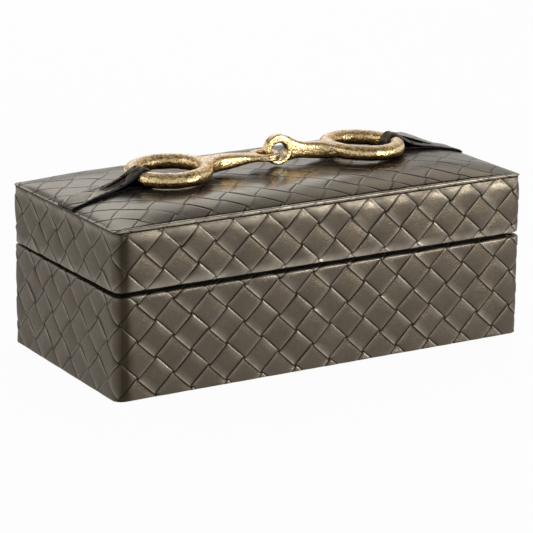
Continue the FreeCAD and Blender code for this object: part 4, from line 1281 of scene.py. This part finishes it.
def foam_pad():
    """The foam that gives the lid its crown."""
    half_x, half_y = BOX_LENGTH / 2 - FOAM_INSET, BOX_DEPTH / 2 - FOAM_INSET
    nothing_selected()
    bpy.ops.mesh.primitive_grid_add(x_subdivisions=FOAM_GRID[0], y_subdivisions=FOAM_GRID[1], size=2)
    pad = bpy.context.object
    pad.name = "lid_foam_pad"
    x, y, _ = (points_of(pad) * (half_x, half_y, 0)).T
    border = np.minimum(half_x - abs(x), half_y - abs(y))
    over_x = np.clip(abs(x) - half_x + FOAM_CORNER, 0, None)
    over_y = np.clip(abs(y) - half_y + FOAM_CORNER, 0, None)
    excess = np.clip(np.hypot(over_x, over_y) / FOAM_CORNER, 1, None)
    x -= np.sign(x) * over_x * (1 - 1 / excess)
    y -= np.sign(y) * over_y * (1 - 1 / excess)
    rounding = 0.5 * FOAM_LOWER * np.clip(1 - border / FOAM_ROUND, 0, 1) ** 2
    top = np.maximum(crown_height(x, y) - FOAM_LOWER - rounding, FOAM_BOTTOM + FOAM_LEAST)
    set_points(pad, np.stack([x, y, top], 1))
    edit_all()
    bpy.ops.mesh.extrude_region_move()
    bpy.ops.transform.resize(value=(1, 1, 0), center_override=(0, 0, FOAM_BOTTOM))
    face_outward()
    bpy.ops.object.shade_smooth_by_angle(angle=math.radians(40))
    return tip_with_lid(pad)


def foam_material():
    """Pale foam with open cells."""
    material, tree, shader = new_material("pale_foam")
    places = object_places(tree)
    cells = node(tree, "ShaderNodeTexVoronoi", {"Vector": places, "Scale": 900.0}).outputs["Distance"]
    colour = ramp(tree, cells, (0.1, (0.62, 0.57, 0.44)), (0.6, (0.80, 0.76, 0.64)))
    fill(tree, shader, {"Base Color": colour, "Roughness": 0.95, "Normal": bump(tree, cells, 0.6, 0.0005)})
    return material


foam = foam_pad()
settle(foam, "lid", "foam_padding", foam_material(), "lid_top_padding")

# %% [markdown]
# The construction parts keep the frame's own meshes and only get their finishes: grey-brown board,
# black suede with a soft sheen on the liners, brushed brass for the hinges, and felt under the foot.

# %% Finishes of the construction parts
def fibreboard():
    """Pressed fibres, a little uneven in tone."""
    material, tree, shader = new_material("fibreboard")
    places = object_places(tree)
    fibres = noise(tree, places, 700.0, 5.0, 0.7)
    colour = ramp(tree, fibres, (0.25, (0.20, 0.135, 0.080)), (0.75, (0.36, 0.265, 0.175)))
    tone = ramp(tree, noise(tree, places, 60.0), (0.3, grey(0.7)), (0.7, grey(1)))
    colour = mix(tree, "MULTIPLY", 0.5, colour, tone)
    fill(tree, shader, {"Base Color": colour, "Roughness": 0.85, "Normal": bump(tree, fibres, 0.4, 0.0003)})
    return material


def black_suede():
    """Black suede: short nap, brushed in patches, with a soft sheen."""
    material, tree, shader = new_material("black_suede")
    places = object_places(tree)
    nap = noise(tree, places, 1600.0, 4.0, 0.6)
    brushed = noise(tree, places, 45.0, 2.0)
    colour = ramp(tree, brushed, (0.35, (0.010, 0.010, 0.011)), (0.65, (0.022, 0.021, 0.022)))
    colour = mix(tree, "MULTIPLY", 0.7, colour, ramp(tree, nap, (0.3, grey(0.5)), (0.7, grey(1.3))))
    fill(tree, shader, {"Base Color": colour, "Roughness": 0.95, "Specular IOR Level": 0.15,
                        "Sheen Weight": 0.25, "Sheen Roughness": 0.5,
                        "Normal": bump(tree, nap, 0.5, 0.0004)})
    return material


def hinge_brass():
    """Brushed brass, slightly tarnished."""
    material, tree, shader = new_material("hinge_brass")
    places = object_places(tree)
    streaks = node(tree, "ShaderNodeMapping", {"Vector": places, "Scale": (60.0, 2500.0, 2500.0)})
    brushing = noise(tree, streaks.outputs["Vector"], 1.0, 3.0)
    tarnish = noise(tree, places, 220.0, 3.0)
    colour = ramp(tree, tarnish, (0.35, (0.42, 0.27, 0.10)), (0.6, (0.74, 0.54, 0.24)))
    rough = ramp(tree, brushing, (0.3, grey(0.24)), (0.7, grey(0.42)))
    fill(tree, shader, {"Base Color": colour, "Metallic": 1.0, "Roughness": rough,
                        "Normal": bump(tree, brushing, 0.15, 0.0001)})
    return material


def foot_felt():
    """Dark brown felt with matted fibres."""
    material, tree, shader = new_material("foot_felt")
    places = object_places(tree)
    fibres = noise(tree, places, 1200.0, 5.0, 0.7)
    colour = ramp(tree, fibres, (0.3, (0.018, 0.015, 0.012)), (0.7, (0.050, 0.043, 0.035)))
    fill(tree, shader, {"Base Color": colour, "Roughness": 1.0, "Sheen Weight": 0.3,
                        "Normal": bump(tree, fibres, 0.6, 0.0005)})
    return material


FINISHES = {"panel": fibreboard(), "liner": black_suede(), "hinge": hinge_brass(), "felt": foot_felt()}
for name, part in frame["nodes"].items():
    for word, finish in FINISHES.items():
        if word in name:
            part.data.materials.clear()
            part.data.materials.append(finish)
            print(name, "finished as", finish.name)
